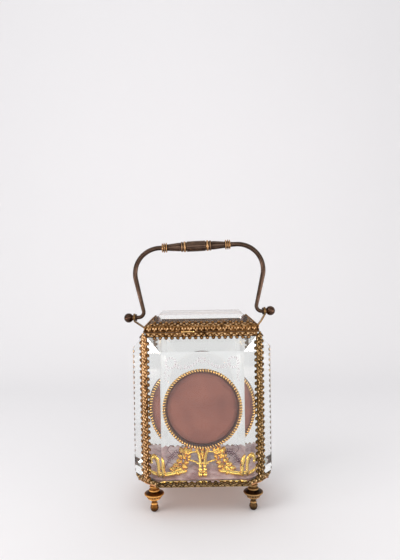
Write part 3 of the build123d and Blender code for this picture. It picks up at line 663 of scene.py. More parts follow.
# Materials. Metals: name, dark, middle and light colour, range of roughness, does the mesh store its relief
# shade (painted shade in hollows, painted highlights on raised parts, with wear)
METALS = {
    "brass": ("aged_brass", (38, 21, 9), (138, 97, 56), (230, 192, 146), (0.25, 0.45), True),
    "plain_brass": ("plain_brass", (66, 48, 28), (128, 98, 62), (204, 166, 116), (0.25, 0.45), False),
    "olive": ("olive_brass", (32, 22, 9), (116, 88, 50), (216, 186, 140), (0.25, 0.45), True),
    "bronze": ("dark_bronze", (46, 34, 28), (98, 78, 66), (196, 152, 106), (0.24, 0.4), True),
    "plain_bronze": ("plain_bronze", (50, 34, 27), (78, 58, 47), (116, 88, 68), (0.18, 0.34), False),
    "gilt": ("gilt", (96, 48, 6), (220, 152, 38), (252, 216, 112), (0.16, 0.3), True),
    "ring_gilt": ("ring_gilt", (78, 36, 8), (196, 132, 46), (252, 212, 134), (0.16, 0.3), True),
    # Darker gilt for the holder's drum and the other plain gilt parts: painted shade on the drum's inner
    # wall.
    "shaded_gilt": ("shaded_gilt", (60, 24, 10), (92, 42, 20), (136, 74, 34), (0.4, 0.6), False),
    # Two copies of the feet's gold, the second darker: painted shade for the feet away from the key lamp.
    "foot_lit_side": ("foot_lit_side", (40, 24, 12), (146, 96, 46), (214, 160, 90), (0.42, 0.62), True),
    "foot_shaded_side": ("foot_shaded_side", (28, 20, 14), (98, 74, 46), (166, 132, 88), (0.42, 0.62), True),
    "base": ("base_brass", (124, 82, 50), (206, 150, 106), (236, 190, 150), (0.3, 0.45), False),
    # Lighter, smoother brass for the thumb lip: real polish, with a lighter colour that is a painted
    # highlight.
    "polished_highlit": ("highlit_polished_brass", (150, 110, 60), (216, 176, 116), (250, 222, 170), (0.12, 0.25), False),
}
MATS = {key: metal_material(*values) for key, values in METALS.items()}
MATS["glass"] = glass_material("bevelled_glass", (0.972, 0.988, 0.976))
MATS["silk"] = silk_material("mauve_silk")
MATS["pad"] = satin_material("rose_satin", (116, 64, 54), (148, 88, 74))
MATS["frost"] = frost_material("etched_glass", (0.6, 0.55, 0.57), 0.5)
MATS["vine"] = frost_material("etched_vine", (0.1, 0.055, 0.07), 1.0)
PLAIN = {"bronze": "plain_bronze", "gilt": "shaded_gilt", "glass": "glass", "silk": "silk", "pad": "pad"}

for sub in frame["record"]["subparts"]:
    cad = NODES[sub["node"]]
    slot_name = sub["material_slot"]
    cad.data.materials.clear()
    cad.data.materials.append(MATS[PLAIN.get(slot_name, "plain_brass")])

AIR = 0.05
CORNERS = {"front_left": (-1, -1), "front_right": (1, -1), "back_left": (-1, 1), "back_right": (1, 1)}
CORNER_CAP = 1.25
BEAD_R = 0.74
BEAD_OUT = 0.42
RAIL_CLEAR = 1.32
THUMB_NOTCH = (-4.0, 3.6)
LID_DROP = 0.5


# Corner posts: two strips and a twisted bead
def make_posts():
    full_h = GLASS_Z1 - GLASS_Z0 + FOOT_CUT
    middle = GLASS_Z1 - full_h / 2
    heights = np.arange(GLASS_Z0, GLASS_Z1 + RETURN_T, 0.3)
    twist = 2 * math.pi / (PITCH_MM / 2)
    for name, (sx, sy) in CORNERS.items():
        parts = []
        for face, edge in (((0, sy, 0), (sx, 0, 0)), ((sx, 0, 0), (0, sy, 0))):
            at = bevel_frame((sx * HALF_X, sy * HALF_Y, middle), face, edge, BEVEL_W, BEVEL_RISE)
            at = (at[0], np.array(UP, float), at[2], at[3])
            parts.append(strip_part(at, full_h, MITRE, low_cut=-full_h / 2 + FOOT_CUT))
        bead = [(sx * (HALF_X + BEAD_OUT), sy * (HALF_Y + BEAD_OUT), z) for z in heights]
        # The right-hand beads are darker: painted shade on the side away from the key lamp.
        parts.append(tube_part(bead, BEAD_R, 16, 2, 0.11, twist, 0.95 if sx < 0 else 0.6))
        cap_x = sorted((sx * (HALF_X - CORNER_CAP), sx * (HALF_X + STRIP_T)))
        cap_y = sorted((sy * (HALF_Y - CORNER_CAP), sy * (HALF_Y + STRIP_T)))
        low, high = zip(cap_x, cap_y, (GLASS_Z1 + AIR, GLASS_Z1 + RETURN_T))
        parts.append(box_part(low, high))
        # The right-hand posts take the darker olive brass: painted shade on the side away from the key lamp.
        side = "brass" if sx < 0 else "olive"
        make_piece(f"post_{name}", parts, "case", MATS[side], [f"corner_post_{name}"])


def make_lower_rail(name, face, side, half, off):
    f = np.array(face, float)
    width = 2 * (half - FOOT_CUT)
    low = GLASS_Z0 - BASE_T - RETURN_T
    origin = f * (off + FOOT_OUT) + np.array((0, 0, GLASS_Z0))
    parts = [strip_part(bevel_frame(origin, face, DOWN, BEVEL_W, BEVEL_RISE), width, MITRE)]
    origin = f * (off + FOOT_OUT) + np.array((0, 0, low))
    parts.append(band_part(origin, side, UP, face, width, BASE_T + RETURN_T))
    parts.append(corner_plate(face, side, half, off, -1))
    parts.append(corner_plate(face, side, half, off, 1))
    edge = (FOOT_OUT - RETURN_W, FOOT_OUT)
    parts.append(wall_box(face, side, off, (-width / 2, width / 2), edge, (low, low + RETURN_T)))
    make_piece(f"lower_strip_{name}", parts, "case", MATS["olive"], [f"bottom_rail_{name}"])


def make_upper_rail(name, face, side, half, off):
    """The one in front has a notch for the thumb, with a box behind it in the darkest colour, painted shade
    in the notch.
    """
    origin = np.array(face, float) * off + np.array((0, 0, GLASS_Z1))
    at = bevel_frame(origin, face, UP, BEVEL_W, BEVEL_RISE)
    parts = [strip_part(at, 2 * half, MITRE, clear=RAIL_CLEAR)]
    reach = half - 1.3 if name in ("front", "back") else half - RETURN_W - AIR
    z = (GLASS_Z1 + AIR, GLASS_Z1 + RETURN_T)
    if name == "front":
        notch_l, notch_r = THUMB_NOTCH
        parts.append(wall_box(face, side, off, (-reach, notch_l), (-RETURN_W, STRIP_T), z))
        parts.append(wall_box(face, side, off, (notch_r, reach), (-RETURN_W, STRIP_T), z))
        # A box at the darkest shade: painted shade behind the thumb notch.
        shade_box = wall_box(face, side, off, (notch_l - AIR, notch_r + AIR), (-RETURN_W, -STRIP_T), z)
        parts.append((*shade_box, [0.0] * len(shade_box[0])))
    else:
        parts.append(wall_box(face, side, off, (-reach, reach), (-RETURN_W, STRIP_T), z))
    make_piece(f"upper_strip_{name}", parts, "case", MATS["brass"], [f"top_rail_{name}"])


def make_rails():
    for name, wall in WALLS.items():
        make_lower_rail(name, *wall)
        make_upper_rail(name, *wall)


def make_lid_rails():
    centre = np.array((0, (LID_Y0 + LID_Y1) / 2, 0.0))
    half_y = (LID_Y1 - LID_Y0) / 2
    low = LID_Z0 - LID_DROP
    for name, (face, side, _, _) in WALLS.items():
        wide = name in ("front", "back")
        half, off = (LID_HALF_X, half_y) if wide else (half_y, LID_HALF_X)
        wall = centre + np.array(face, float) * off
        length = 2 * (half + STRIP_T) if wide else 2 * half - 0.04
        parts = [band_part(wall + np.array((0, 0, low)), side, UP, face, length, LID_EDGE_T + 0.8)]
        origin = wall + np.array((0, 0, LID_Z0 + LID_EDGE_T))
        at = bevel_frame(origin, UP, face, LID_BEVEL_W, LID_BEVEL_RISE)
        parts.append(strip_part(at, 2 * half, LID_MITRE))
        reach = half - 0.03 if wide else half - RETURN_W - AIR
        points, faces = wall_box(face, side, off, (-reach, reach), (-RETURN_W, 0), (low, low + RETURN_T))
        parts.append(([p + centre for p in points], faces))
        make_piece(f"lid_strip_{name}", parts, "lid", MATS["brass"], [f"lid_rail_{name}"])


# Feet: turned, with a beaded flange and a fluted bowl
FOOT_PROFILE = (
    (0, 0), (1.5, 0.0), (2.45, 0.9), (2.95, 2.4), (2.75, 3.8), (1.95, 4.85), (1.9, 5.0), (2.35, 5.25),
    (2.35, 5.75), (1.85, 6.15), (1.8, 6.6), (2.1, 7.5), (2.9, 8.3), (4.0, 8.9), (4.65, 9.4), (4.5, 10.0),
    (4.8, 10.2), (5.5, 10.9), (6.2, 11.9), (6.9, 12.3), (7.0, 12.75), (6.75, 13.15), (6.2, 13.3), (5.6, 13.4),
    (4.4, 14.0), (3.5, 14.5), (3.5, 14.65), (3.9, 15.0), (3.9, 15.5), (3.5, 15.95), (3.3, 16.05),
    (2.75, 16.4), (2.75, 17.1), (3.2, 17.45), (3.3, 17.8), (3.1, 18.2), (2.6, 18.45),
    (2.3, 19.0), (2.6, 19.7), (2.7, 21.8),
    (1.25, 21.8), (1.25, 24.0), (0, 24.0),
)
FOOT_INSET = 5.1
BOWL = (10.2, 12.2)
NECK = (6.6, 9.0)
FLANGE = (12.25, 13.2)
TOE_H = 4.95


def make_feet():
    profile = []
    for (r0, h0), (r1, h1) in zip(FOOT_PROFILE, FOOT_PROFILE[1:]):
        steps = 2 if 8 < h0 < 12 else 1
        for k in range(steps):
            t = k / steps
            profile.append((r0 + (r1 - r0) * t, h0 + (h1 - h0) * t))
    profile.append(FOOT_PROFILE[-1])

    def wobble(i, a):
        h = profile[i][1]
        if BOWL[0] < h < BOWL[1]:
            return 1 + 0.035 * math.cos(20 * a) * math.sin(math.pi * (h - BOWL[0]) / 2.0)
        if NECK[0] < h < NECK[1]:
            return 1 + 0.05 * math.cos(12 * a) * math.sin(math.pi * (h - NECK[0]) / 2.4)
        if FLANGE[0] < h < FLANGE[1]:
            return 1 + 0.012 * math.cos(40 * a)
        return 1.0

    def shade(i, a):
        r, h = profile[i]
        if BOWL[0] < h < BOWL[1]:
            return 0.62 + 0.36 * math.cos(20 * a)
        if h < TOE_H:
            return 0.12 + 0.04 * h
        if NECK[0] < h < NECK[1]:
            return 0.5 + 0.3 * math.cos(12 * a)
        near = max(profile[max(i - 2, 0)][0], profile[min(i + 2, len(profile) - 1)][0])
        return clamp(0.5 + 0.5 * (r - near) + 0.25, 0.1)

    for name, (sx, sy) in CORNERS.items():
        at = (sx * (HALF_X - FOOT_INSET), sy * (HALF_Y - FOOT_INSET), 0)
        part = revolve_part(profile, at, UP, (1, 0, 0), 80, wobble, shade)
        # The right-hand feet take the darker copy: painted shade on the side away from the key lamp.
        mat = MATS["foot_lit_side"] if sx < 0 else MATS["foot_shaded_side"]
        make_piece(f"turned_foot_{name}", [part], "case", mat, [f"foot_{name}"], sharp=60)


# Handle, in its own tilted frame
BAIL_TILT = math.radians(2.1)
BAIL_O = np.array((-1.0, 0.0, 137.7))
BAIL_X = np.array((math.cos(BAIL_TILT), 0, math.sin(BAIL_TILT)))
BAIL_Z = np.array((-math.sin(BAIL_TILT), 0, math.cos(BAIL_TILT)))
GRIP_H = 51.7
GRIP_HALF = 26.0


def bail(x, z):
    return BAIL_O + BAIL_X * x + BAIL_Z * z


def make_arm(name, s, lean_degrees, bend_x):
    small, large = 4.0, 19.5
    lean = math.radians(lean_degrees)
    leg = (math.sin(lean), math.cos(lean))
    leg_l = (GRIP_H - (small + large) * (1 + leg[0])) / leg[1]
    path = [(52.2 + (bend_x - 52.2) * i / 8, 0, 1.45) for i in range(8)]
    for i in range(25):
        t = (math.pi / 2 + lean) * i / 24
        path.append((bend_x - small * math.sin(t), small - small * math.cos(t), 1.45))
    x0, z0 = path[-1][:2]
    for i in range(1, 60):
        t = i / 60
        path.append((x0 + leg_l * leg[0] * t, z0 + leg_l * leg[1] * t, 1.45 + 0.35 * t))
    top_x, top_z = x0 + leg_l * leg[0], z0 + leg_l * leg[1]
    mid_x, mid_z = top_x - large * leg[1], top_z + large * leg[0]
    for i in range(73):
        a = -lean + (math.pi / 2 + lean) * i / 72
        path.append((mid_x + large * math.cos(a), mid_z + large * math.sin(a), 1.8))
    for i in range(1, 8):
        t = i / 8
        path.append((mid_x + (GRIP_HALF - 2 - mid_x) * t, GRIP_H, 1.8 + 0.2 * t))
    points = [bail(s * x, z) for x, z, _ in path]
    radii = [r - 0.05 for _, _, r in path]
    rod = tube_part(points, radii, 36, lobes=9, depth=0.05, twist=0.22 * s, shade=0.42)
    tenon = tube_part([bail(s * x, GRIP_H) for x in (GRIP_HALF - 1, GRIP_HALF - 12)], 1.2, 16, shade=0.3)
    make_piece(f"handle_rod_{name}", [rod, tenon], "bail", MATS["bronze"], [f"bail_arm_{name}"])


GRIP_PROFILE = (
    (4.05, 0), (4.0, 3.5), (3.95, 6.7), (3.7, 7.0), (3.35, 7.3), (3.4, 7.6), (4.0, 8.0), (4.12, 8.6),
    (4.0, 9.2), (3.3, 9.6), (3.3, 9.8), (3.75, 10.1), (3.88, 10.7), (3.75, 11.3), (3.2, 11.65), (3.2, 12.0),
    (3.3, 13.0), (3.05, 16.0), (2.75, 19.0), (2.5, 21.6), (2.6, 21.8), (3.55, 22.1), (3.7, 22.45),
    (3.55, 22.8), (2.6, 23.1), (2.6, 23.4), (3.65, 23.7), (3.8, 24.0), (3.65, 24.3), (2.6, 24.6),
    (2.6, 24.85), (3.4, 25.1), (3.6, 25.4), (3.3, 25.75), (2.5, 26.0),
)
BARREL_H = 6.8
TAPER = (12.2, 21.6)
BORE_R = 1.27
BORE_H = 13.7


def make_grip():
    right = smooth_profile(GRIP_PROFILE, 3)
    profile = [(r, -h) for r, h in right[::-1]] + [(r, h) for r, h in right[1:]]
    ends = [(0.0, -BORE_H), (BORE_R, -BORE_H), (BORE_R, -GRIP_HALF)]
    ends += profile + [(BORE_R, GRIP_HALF), (BORE_R, BORE_H), (0.0, BORE_H)]

    def wobble(i, a):
        h = abs(ends[i][1])
        if ends[i][0] > 2 and h < BARREL_H:
            return 1 - 0.022 * abs(math.sin(7 * a)) ** 3 - 0.004 * math.cos(28 * a)
        if ends[i][0] > 2 and TAPER[0] < h < TAPER[1]:
            return 1 - 0.02 * abs(math.sin(5 * a)) ** 3
        return 1.0

    def shade(i, a):
        r, h = ends[i][0], abs(ends[i][1])
        if h < BARREL_H:
            return 0.45 - 0.25 * abs(math.sin(7 * a)) ** 3
        if TAPER[0] < h < TAPER[1]:
            return 0.42 - 0.2 * abs(math.sin(5 * a)) ** 3
        ring = max(0.0, (r - (2.95 if h > 20 else 3.65)) / 0.35)
        return min(0.85, 0.12 + 0.8 * ring)

    part = revolve_part(ends, bail(0, GRIP_H), BAIL_X, (0, -1, 0), 84, wobble, shade)
    make_piece("turned_grip", [part], "bail", MATS["bronze"], ["handle_grip"], sharp=60)


# Watch holder
RING_O = np.array((0.0, -9.0, 69.0))
LEAN = math.radians(2.5)
RING_OUT = np.array((0.0, -math.cos(LEAN), math.sin(LEAN)))
RING_UP = np.array((0.0, math.sin(LEAN), math.cos(LEAN)))
RING_X = np.array((1.0, 0.0, 0.0))
ROPE_MID_R = 28.3
ROPE_R = 1.12
ROPE_BEADS = 89


def make_bezel():
    around, section = 12 * ROPE_BEADS, 14
    points, faces, vertex_shade = [], [], []
    for i in range(around):
        a = 2 * math.pi * i / around
        out = RING_X * math.cos(a) + RING_UP * math.sin(a)
        for k in range(section):
            b = 2 * math.pi * k / section
            wave = math.cos(ROPE_BEADS * a + b)
            r = ROPE_R + 0.27 * wave
            points.append(RING_O + out * (ROPE_MID_R + r * math.cos(b)) + RING_OUT * r * math.sin(b))
            # Painted highlights on the bead crests, painted shade in the gaps between them.
            vertex_shade.append(max(0.0, 0.42 + 0.62 * wave))
    for i in range(around):
        j = (i + 1) % around
        for k in range(section):
            n = (k + 1) % section
            faces.append((i * section + k, j * section + k, j * section + n, i * section + n))
    parts = [(points, faces, vertex_shade)]
    make_piece("roped_bezel", parts, "case", MATS["ring_gilt"], ["bezel_rope"], sharp=80)


# Stand: drawn on its own slope, x to the right, y up the slope, n out of its front
STAND_LEAN = math.radians(46.0)
STAND_O = np.array((-0.5, -25.0, 26.4))
STAND_UP = np.array((0.0, math.sin(STAND_LEAN), math.cos(STAND_LEAN)))
STAND_OUT = np.array((0.0, -math.cos(STAND_LEAN), math.sin(STAND_LEAN)))


def on_stand(x, y, n=0.0):
    return STAND_O + RING_X * x + STAND_UP * y + STAND_OUT * n


def tapered(radii, count):
    """The radius at each of count points, between a few given ones."""
    return [float(np.interp(i / (count - 1), np.linspace(0, 1, len(radii)), radii)) for i in range(count)]


def mirrored(points, s):
    """Points drawn for the right side, on side s."""
    return [(s * x, *rest) for x, *rest in points]


def stand_rod(points, radii, shade=0.8, count=28):
    line = [on_stand(*p) for p in spline(points, count)]
    return tube_part(line, tapered(radii, count), shade=shade, normal=STAND_OUT)


def upright_rod(points, y, radii, shade):
    """A rod in an upright plane; points are (x, z), with x from the stand's middle."""
    count = 36
    line = spline([(STAND_O[0] + x, y, z) for x, z in points], count)
    return tube_part(line, tapered(radii, count), shade=shade)


def leaf_part(base, tip, width, lift, bend, lobes, n0):
    """A carved leaf: scalloped edges, a raised middle rib and veins."""
    base, tip = np.array(base, float), np.array(tip, float)
    way = tip - base
    length = np.linalg.norm(way)
    way = way / length
    across = np.array((-way[1], way[0]))
    rows, cols = 15, 11
    top, bottom, shade_and_wear = blank_grid(rows, cols)
    for r in range(rows):
        t = r / (rows - 1)
        scallop = 1 + 0.22 * abs(math.cos(math.pi * lobes * t)) if 0.08 < t < 0.95 else 1.0
        half = width * (math.sin(math.pi * min(1.0, t * 0.92 + 0.06)) ** 0.75) * scallop * (1 - 0.35 * t)
        mid = base + way * length * t + across * bend * math.sin(math.pi * t)
        for c in range(cols):
            q = 2 * c / (cols - 1) - 1
            p = mid + across * half * q
            rib = math.exp(-((q / 0.16) ** 2))
            vein = 0.5 + 0.5 * math.cos(2 * math.pi * (lobes * t - 1.4 * abs(q)))
            curl = math.sin(math.pi * t) * lift + 0.5 * t * t
            h = curl * (1 - 0.55 * q * q) + 0.3 * rib + 0.22 * vein * (1 - rib)
            edge = abs(q) > 0.99 or r in (0, rows - 1)
            top[r, c] = on_stand(p[0], p[1], n0 + (0.15 if edge else 0.25 + h))
            bottom[r, c] = on_stand(p[0], p[1], n0 - 0.5)
            # Painted highlights on the rib, the veins and towards the tip.
            shade_and_wear[r, c] = min(1.0, 0.25 + 0.55 * max(rib, vein * 0.8) + 0.2 * t)
    return sheet_solid(top, bottom, shade_and_wear)


def stand_bead(x, y, r, n, shade=0.95):
    return ball_part(on_stand(x, y, n), r, shade)


def make_stem():
    parts = []
    for s in (-1, 1):
        leg = mirrored(((1.5, 0.2, -1.0), (1.4, 4.5, -0.9), (1.8, 9.0, -0.8)), s)
        parts.append(stand_rod(leg, (1.3, 1.1, 1.3)))
        horn = mirrored(((1.6, 8.6, -0.9), (1.8, 12.0, -0.7), (2.7, 16.6, -0.6), (4.4, 20.6, -0.8)), s)
        parts.append(stand_rod(horn, (1.4, 1.2, 1.3, 1.3), 0.75))
        # A thin rod in the lightest colour: painted highlight on the horn.
        parts.append(stand_rod([(x - s * 0.3, y, n + 1.0) for x, y, n in horn[:3]], (0.3, 0.4, 0.3), 1.0))
        # A rod in a dark colour behind the legs: painted shade between them.
        shaded_core = mirrored(((0.8, 9.4, -1.1), (0.9, 14.0, -1.1), (1.3, 19.5, -1.1)), s)
        parts.append(stand_rod(shaded_core, (0.9, 0.9, 0.8), 0.25))
        for y, r in ((0.9, 1.6), (4.6, 1.55), (7.2, 1.3)):
            parts.append(stand_bead(s * 1.7, y, r, -0.6))
        parts.append(stand_bead(s * 3.7, 20.4, 0.95, -0.5))
    parts.append(stand_rod(((-4.3, 9.1, -0.8), (0, 9.3, -0.6), (4.3, 9.1, -0.8)), (0.75, 0.85, 0.75), 1.0))
    parts.append(stand_rod(((-3.2, 2.7, -1.0), (0, 3.0, -0.8), (3.2, 2.7, -1.0)), (0.5, 0.62, 0.5), 0.7))
    parts.append(leaf_part((0, 13.6), (0, 20.9), 1.6, 0.7, 0, 3, -0.7))
    parts.append(stand_bead(0, 12.9, 0.8, -0.4))
    make_piece("cast_stem", parts, "case", MATS["gilt"], ["stand_stem"], sharp=60)


# Scrolls, drawn for the right one: leaves as root, tip and width, and beads as x, y and radius
CURL_Y = -26.9
ARM = (
    (12.0, 3.4, -0.9), (17, 2.9, -0.8), (22, 1.7, -0.8),
    (27.4, 1.1, -0.9), (31.4, 2.0, -0.9), (34.2, 4.6, -1.0),
)
CURL = ((27.5, 26.8), (27.6, 31.0), (27.9, 35.6), (29.2, 39.2), (31.4, 40.6), (33.6, 39.4), (34.3, 36.8))
LEAVES = (
    ((11.2, 15.6), (8.0, 20.6), 1.5), ((12.4, 16.0), (12.2, 22.4), 1.7), ((13.4, 16.2), (16.2, 21.2), 1.6),
    ((11.2, 13.6), (8.6, 15.2), 1.0), ((13.8, 14.0), (17.6, 16.4), 1.4), ((13.0, 11.8), (10.2, 9.2), 1.3),
    ((14.4, 11.4), (18.6, 11.8), 1.4), ((15.0, 9.6), (11.0, 6.0), 1.5), ((16.4, 8.8), (21.0, 8.2), 1.5),
    ((17.4, 7.2), (13.4, 3.6), 1.5), ((18.8, 6.2), (23.4, 5.2), 1.6), ((19.6, 4.4), (16.4, 1.4), 1.3),
    ((12.6, 12.4), (14.6, 18.0), 1.3), ((15.2, 7.6), (19.4, 3.4), 1.5),
)
BEADS = (
    (10.0, 17.6, 0.8), (14.4, 19.2, 0.75), (12.4, 14.6, 1.1), (15.6, 13.2, 0.8), (12.8, 10.0, 0.75),
    (16.9, 9.9, 0.85), (14.2, 6.6, 0.7), (18.2, 6.9, 1.0), (21.2, 6.4, 0.7), (11.9, 3.6, 1.0),
    (17.2, 3.0, 0.7), (8.4, 19.0, 0.7), (11.2, 19.6, 0.6), (13.2, 17.2, 0.7), (10.6, 12.6, 0.6),
    (17.8, 12.4, 0.6), (20.0, 8.4, 0.6), (14.6, 4.2, 0.8),
)


def make_scroll(name, s):
    arm = mirrored(ARM, s)
    parts = [stand_rod(arm, (1.2, 1.4, 1.3, 1.2, 1.05, 0.7), 0.85, 44)]
    # A thin rod in the lightest colour: painted highlight along the arm.
    upper = [(x, y + 1.0, n + 0.7) for x, y, n in arm[1:]]
    parts.append(stand_rod(upper, (0.3, 0.45, 0.4, 0.35, 0.2), 1.0, 36))
    curl = mirrored(CURL, s)
    parts.append(upright_rod(curl, CURL_Y, (1.2, 1.35, 1.5, 1.7, 1.65, 1.45, 1.2), 0.75))
    # A thin rod in the lightest colour: painted highlight along the front of the curl.
    highlight_crest = [(x + s * 0.1, z + 0.3) for x, z in curl[1:6]]
    parts.append(upright_rod(highlight_crest, -28.0, (0.3, 0.4, 0.45, 0.4), 1.0))
    # A rod in a dark colour inside the curl: painted shade in its hollow.
    hollow_shade_rod = [(x + s * 1.0, z - 1.3) for x, z in curl[2:5]]
    parts.append(upright_rod(hollow_shade_rod, CURL_Y, (0.4, 0.5, 0.4), 0.15))
    parts.append(ball_part((STAND_O[0] + s * 34.1, CURL_Y, 36.4), 1.45, 0.9))
    foot = [(STAND_O[0] + s * 27.9, y, 26.9) for y in (-27.0, -25.4, -23.6)]
    parts.append(tube_part(foot, 0.8, 12, shade=0.5, normal=(0, 0, 1)))
    brace = mirrored(((3.6, 10.0, -0.9), (7.0, 10.9, -0.5), (10.8, 12.4, -0.9)), s)
    parts.append(stand_rod(brace, (0.55, 0.7, 0.6)))
    parts.append(stand_bead(s * 6.6, 10.8, 0.85, -0.5))
    brace = mirrored(((4.5, 17.9, -0.9), (7.6, 17.6, -0.4), (11.4, 16.4, -0.9)), s)
    parts.append(stand_rod(brace, (0.6, 0.75, 0.6)))
    for i, (base, tip, wide) in enumerate(LEAVES):
        bend = 0.35 if i % 2 else -0.35
        root, end = np.array(base, float), np.array(tip, float)
        end = root + (end - root) * 1.12
        level = -1.0 + 0.14 * (i % 3)
        ends = mirrored((root, end), s)
        parts.append(leaf_part(*ends, 1.45 * wide, 0.9, s * bend, 3 + i % 2, level))
    for x, y, r in BEADS:
        parts.append(stand_bead(s * x, y, 1.05 * r, -0.2, 0.55))
    make_piece(f"cast_scroll_{name}", parts, "case", MATS["gilt"], [f"stand_scroll_{name}"], sharp=60)


# Soft pieces: blown up a little by the cloth solver at ten times their size, then dressed with folds
SIM = 10.0
PRESSURE = 4.0
LAST_FRAME = 20


def evaluated(obj):
    graph = bpy.context.evaluated_depsgraph_get()
    return bpy.data.meshes.new_from_object(obj.evaluated_get(graph))


def puffed(name, node_name, voxel, cap, shrink):
    source = NODES[node_name]
    mesh = source.data.copy()
    obj = bpy.data.objects.new(name, mesh)
    scene.collection.objects.link(obj)
    lo, hi = (np.array(v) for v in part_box(node_name))
    centre = (lo + hi) / 2
    for v in mesh.vertices:
        v.co = Vector((np.array(v.co) - centre) * SIM * shrink)
    remesh = obj.modifiers.new("remesh", "REMESH")
    remesh.mode = "VOXEL"
    remesh.voxel_size = voxel
    obj.data = evaluated(obj)
    obj.modifiers.clear()
    before = np.array([v.co for v in obj.data.vertices])
    cloth = obj.modifiers.new("cloth", "CLOTH")
    cloth.settings.use_pressure = True
    cloth.settings.uniform_pressure_force = PRESSURE
    cloth.settings.effector_weights.gravity = 0.0
    cloth.settings.quality = 4
    cloth.collision_settings.use_collision = False
    cloth.point_cache.frame_start = 1
    cloth.point_cache.frame_end = LAST_FRAME
    for f in range(1, LAST_FRAME + 1):
        scene.frame_set(f)
    blown = evaluated(obj)
    after = np.array([v.co for v in blown.vertices])
    obj.modifiers.clear()
    move = after - before
    far = np.linalg.norm(move, axis=1, keepdims=True)
    after = before + move * np.minimum(1.0, cap * SIM * MM / np.maximum(far, 1e-9))
    scene.frame_set(1)
    for v, p in zip(obj.data.vertices, after):
        v.co = Vector(p)
    smooth = obj.modifiers.new("smooth", "SUBSURF")
    smooth.levels = 1
    smooth.render_levels = 1
    obj.data = evaluated(obj)
    obj.modifiers.clear()
    points = np.array([v.co for v in obj.data.vertices]) / SIM + centre
    return obj, points / MM


def dress(obj, points, material, body, node_name):
    for v, p in zip(obj.data.vertices, points):
        v.co = Vector(p) * MM
    obj.data.materials.clear()
    obj.data.materials.append(material)
    for polygon in obj.data.polygons:
        polygon.use_smooth = True
    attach(obj, body)
    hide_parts(node_name)


def ridged(x, y, scale, seed):
    n = noise.noise(Vector((x / scale, y / scale, seed)))
    return 1 - min(1.0, abs(n) * 2.6)


# The cushion stays inside the walls, above the base sheet, and below the stand and the holder
CUSHION_X = 38.4
CUSHION_Y = 28.4
CUSHION_Z = 22.83
PAD_R = 27.25
PAD_N = (0.03, 2.15)
DRUM_DEPTH = 4.0


def make_cushion():
    obj, points = puffed("silk_cushion", "floor_cushion", 0.011, 1.6, 0.985)
    out = points.copy()
    for i, (x, y, z) in enumerate(points):
        top = clamp((z - 23.6) / 0.8)
        edge = min(CUSHION_X - abs(x), CUSHION_Y - abs(y))
        fold = ridged(x + 0.5 * y, 0.35 * y - 0.2 * x, 5.5, 3.0) - 0.5
        fold += 0.7 * (ridged(0.6 * x, y * 1.2 + 0.3 * x, 3.6, 9.0) - 0.5)
        wander = 2.0 * noise.noise(Vector((x / 9, y / 9, 1)))
        pucker = math.sin(1.9 * x + wander) * math.exp(-max(edge, 0.0) / 3.0)
        back = 1.2 * clamp((y - 8.0) / 14.0) + 2.5 * clamp((y - 20.0) / 5.5) ** 1.5
        z_new = z + top * (0.75 * fold + 0.3 * pucker + back)
        front = 24.8 + (0.966 * (y + 23.6) if y > -23.6 else 0.12 * (-23.6 - y))
        press = math.exp(-((x / 4.6) ** 4) - ((y - 20.0) / 4.6) ** 4)
        z_new = min(z_new, front - 0.12) if y < -6 else min(z_new, 27.8 + 4.0 * (1 - press))
        out[i] = (clamp(x, -CUSHION_X, CUSHION_X), clamp(y, -CUSHION_Y, CUSHION_Y), max(CUSHION_Z, z_new))
    dress(obj, out, MATS["silk"], "case", "floor_cushion")


def make_pad():
    obj, points = puffed("satin_pad", "watch_pad", 0.0075, 0.8, 0.99)
    out = points.copy()
    back = RING_O - RING_OUT * DRUM_DEPTH
    for i, p in enumerate(points):
        d = p - back
        x, y, n = d @ RING_X, d @ RING_UP, d @ RING_OUT
        r = math.hypot(x, y)
        a = math.atan2(y, x)
        rim = math.exp(-max(0.0, 26.9 - r) / 1.8)
        front = clamp((n - 0.6) / 0.6)
        crease = 0.16 * math.sin(46 * a + 3 * noise.noise(Vector((x / 6, y / 6, 4)))) * rim
        slack = 0.16 * noise.noise(Vector((x / 9, y / 13, 7)))
        n = clamp(n + front * (crease + slack), *PAD_N)
        k = min(1.0, PAD_R / max(r, 1e-6))
        out[i] = back + RING_X * x * k + RING_UP * y * k + RING_OUT * n
    dress(obj, out, MATS["pad"], "case", "watch_pad")


# Etched decoration on the front plate: thin frosted leaves and tendrils
ETCH_Y = -(HALF_Y + BEVEL_RISE) - 0.015
ETCH_T = 0.012


def etched_leaf(x, z, angle, length, width):
    way = np.array((math.cos(angle), math.sin(angle)))
    side = np.array((-way[1], way[0]))
    outline = [(t, width * math.sin(math.pi * t) ** 0.8) for t in (k / 6 for k in range(7))]
    rim = [np.array((x, z)) + way * length * t + side * w for t, w in outline]
    rim += [np.array((x, z)) + way * length * t - side * w for t, w in outline[-2:0:-1]]
    count = len(rim)
    points = [(p[0], ETCH_Y + t, p[1]) for t in (-ETCH_T, ETCH_T) for p in rim]
    faces = [tuple(range(count)), tuple(range(2 * count - 1, count - 1, -1))]
    for k in range(count):
        n = (k + 1) % count
        faces.append((k, n, count + n, count + k))
    return points, faces


def tendril(points, width=0.19):
    line = spline([(x, ETCH_Y, z) for x, z in points], 30)
    return tube_part(line, width, 6, flat=0.12)


SWAG = ((19.0, 106.8), (14.0, 104.6), (8.5, 105.2), (4.0, 108.0), (1.6, 110.4))
DROP = ((23.6, 105.4), (25.4, 102.0), (24.0, 98.6), (25.6, 95.4))


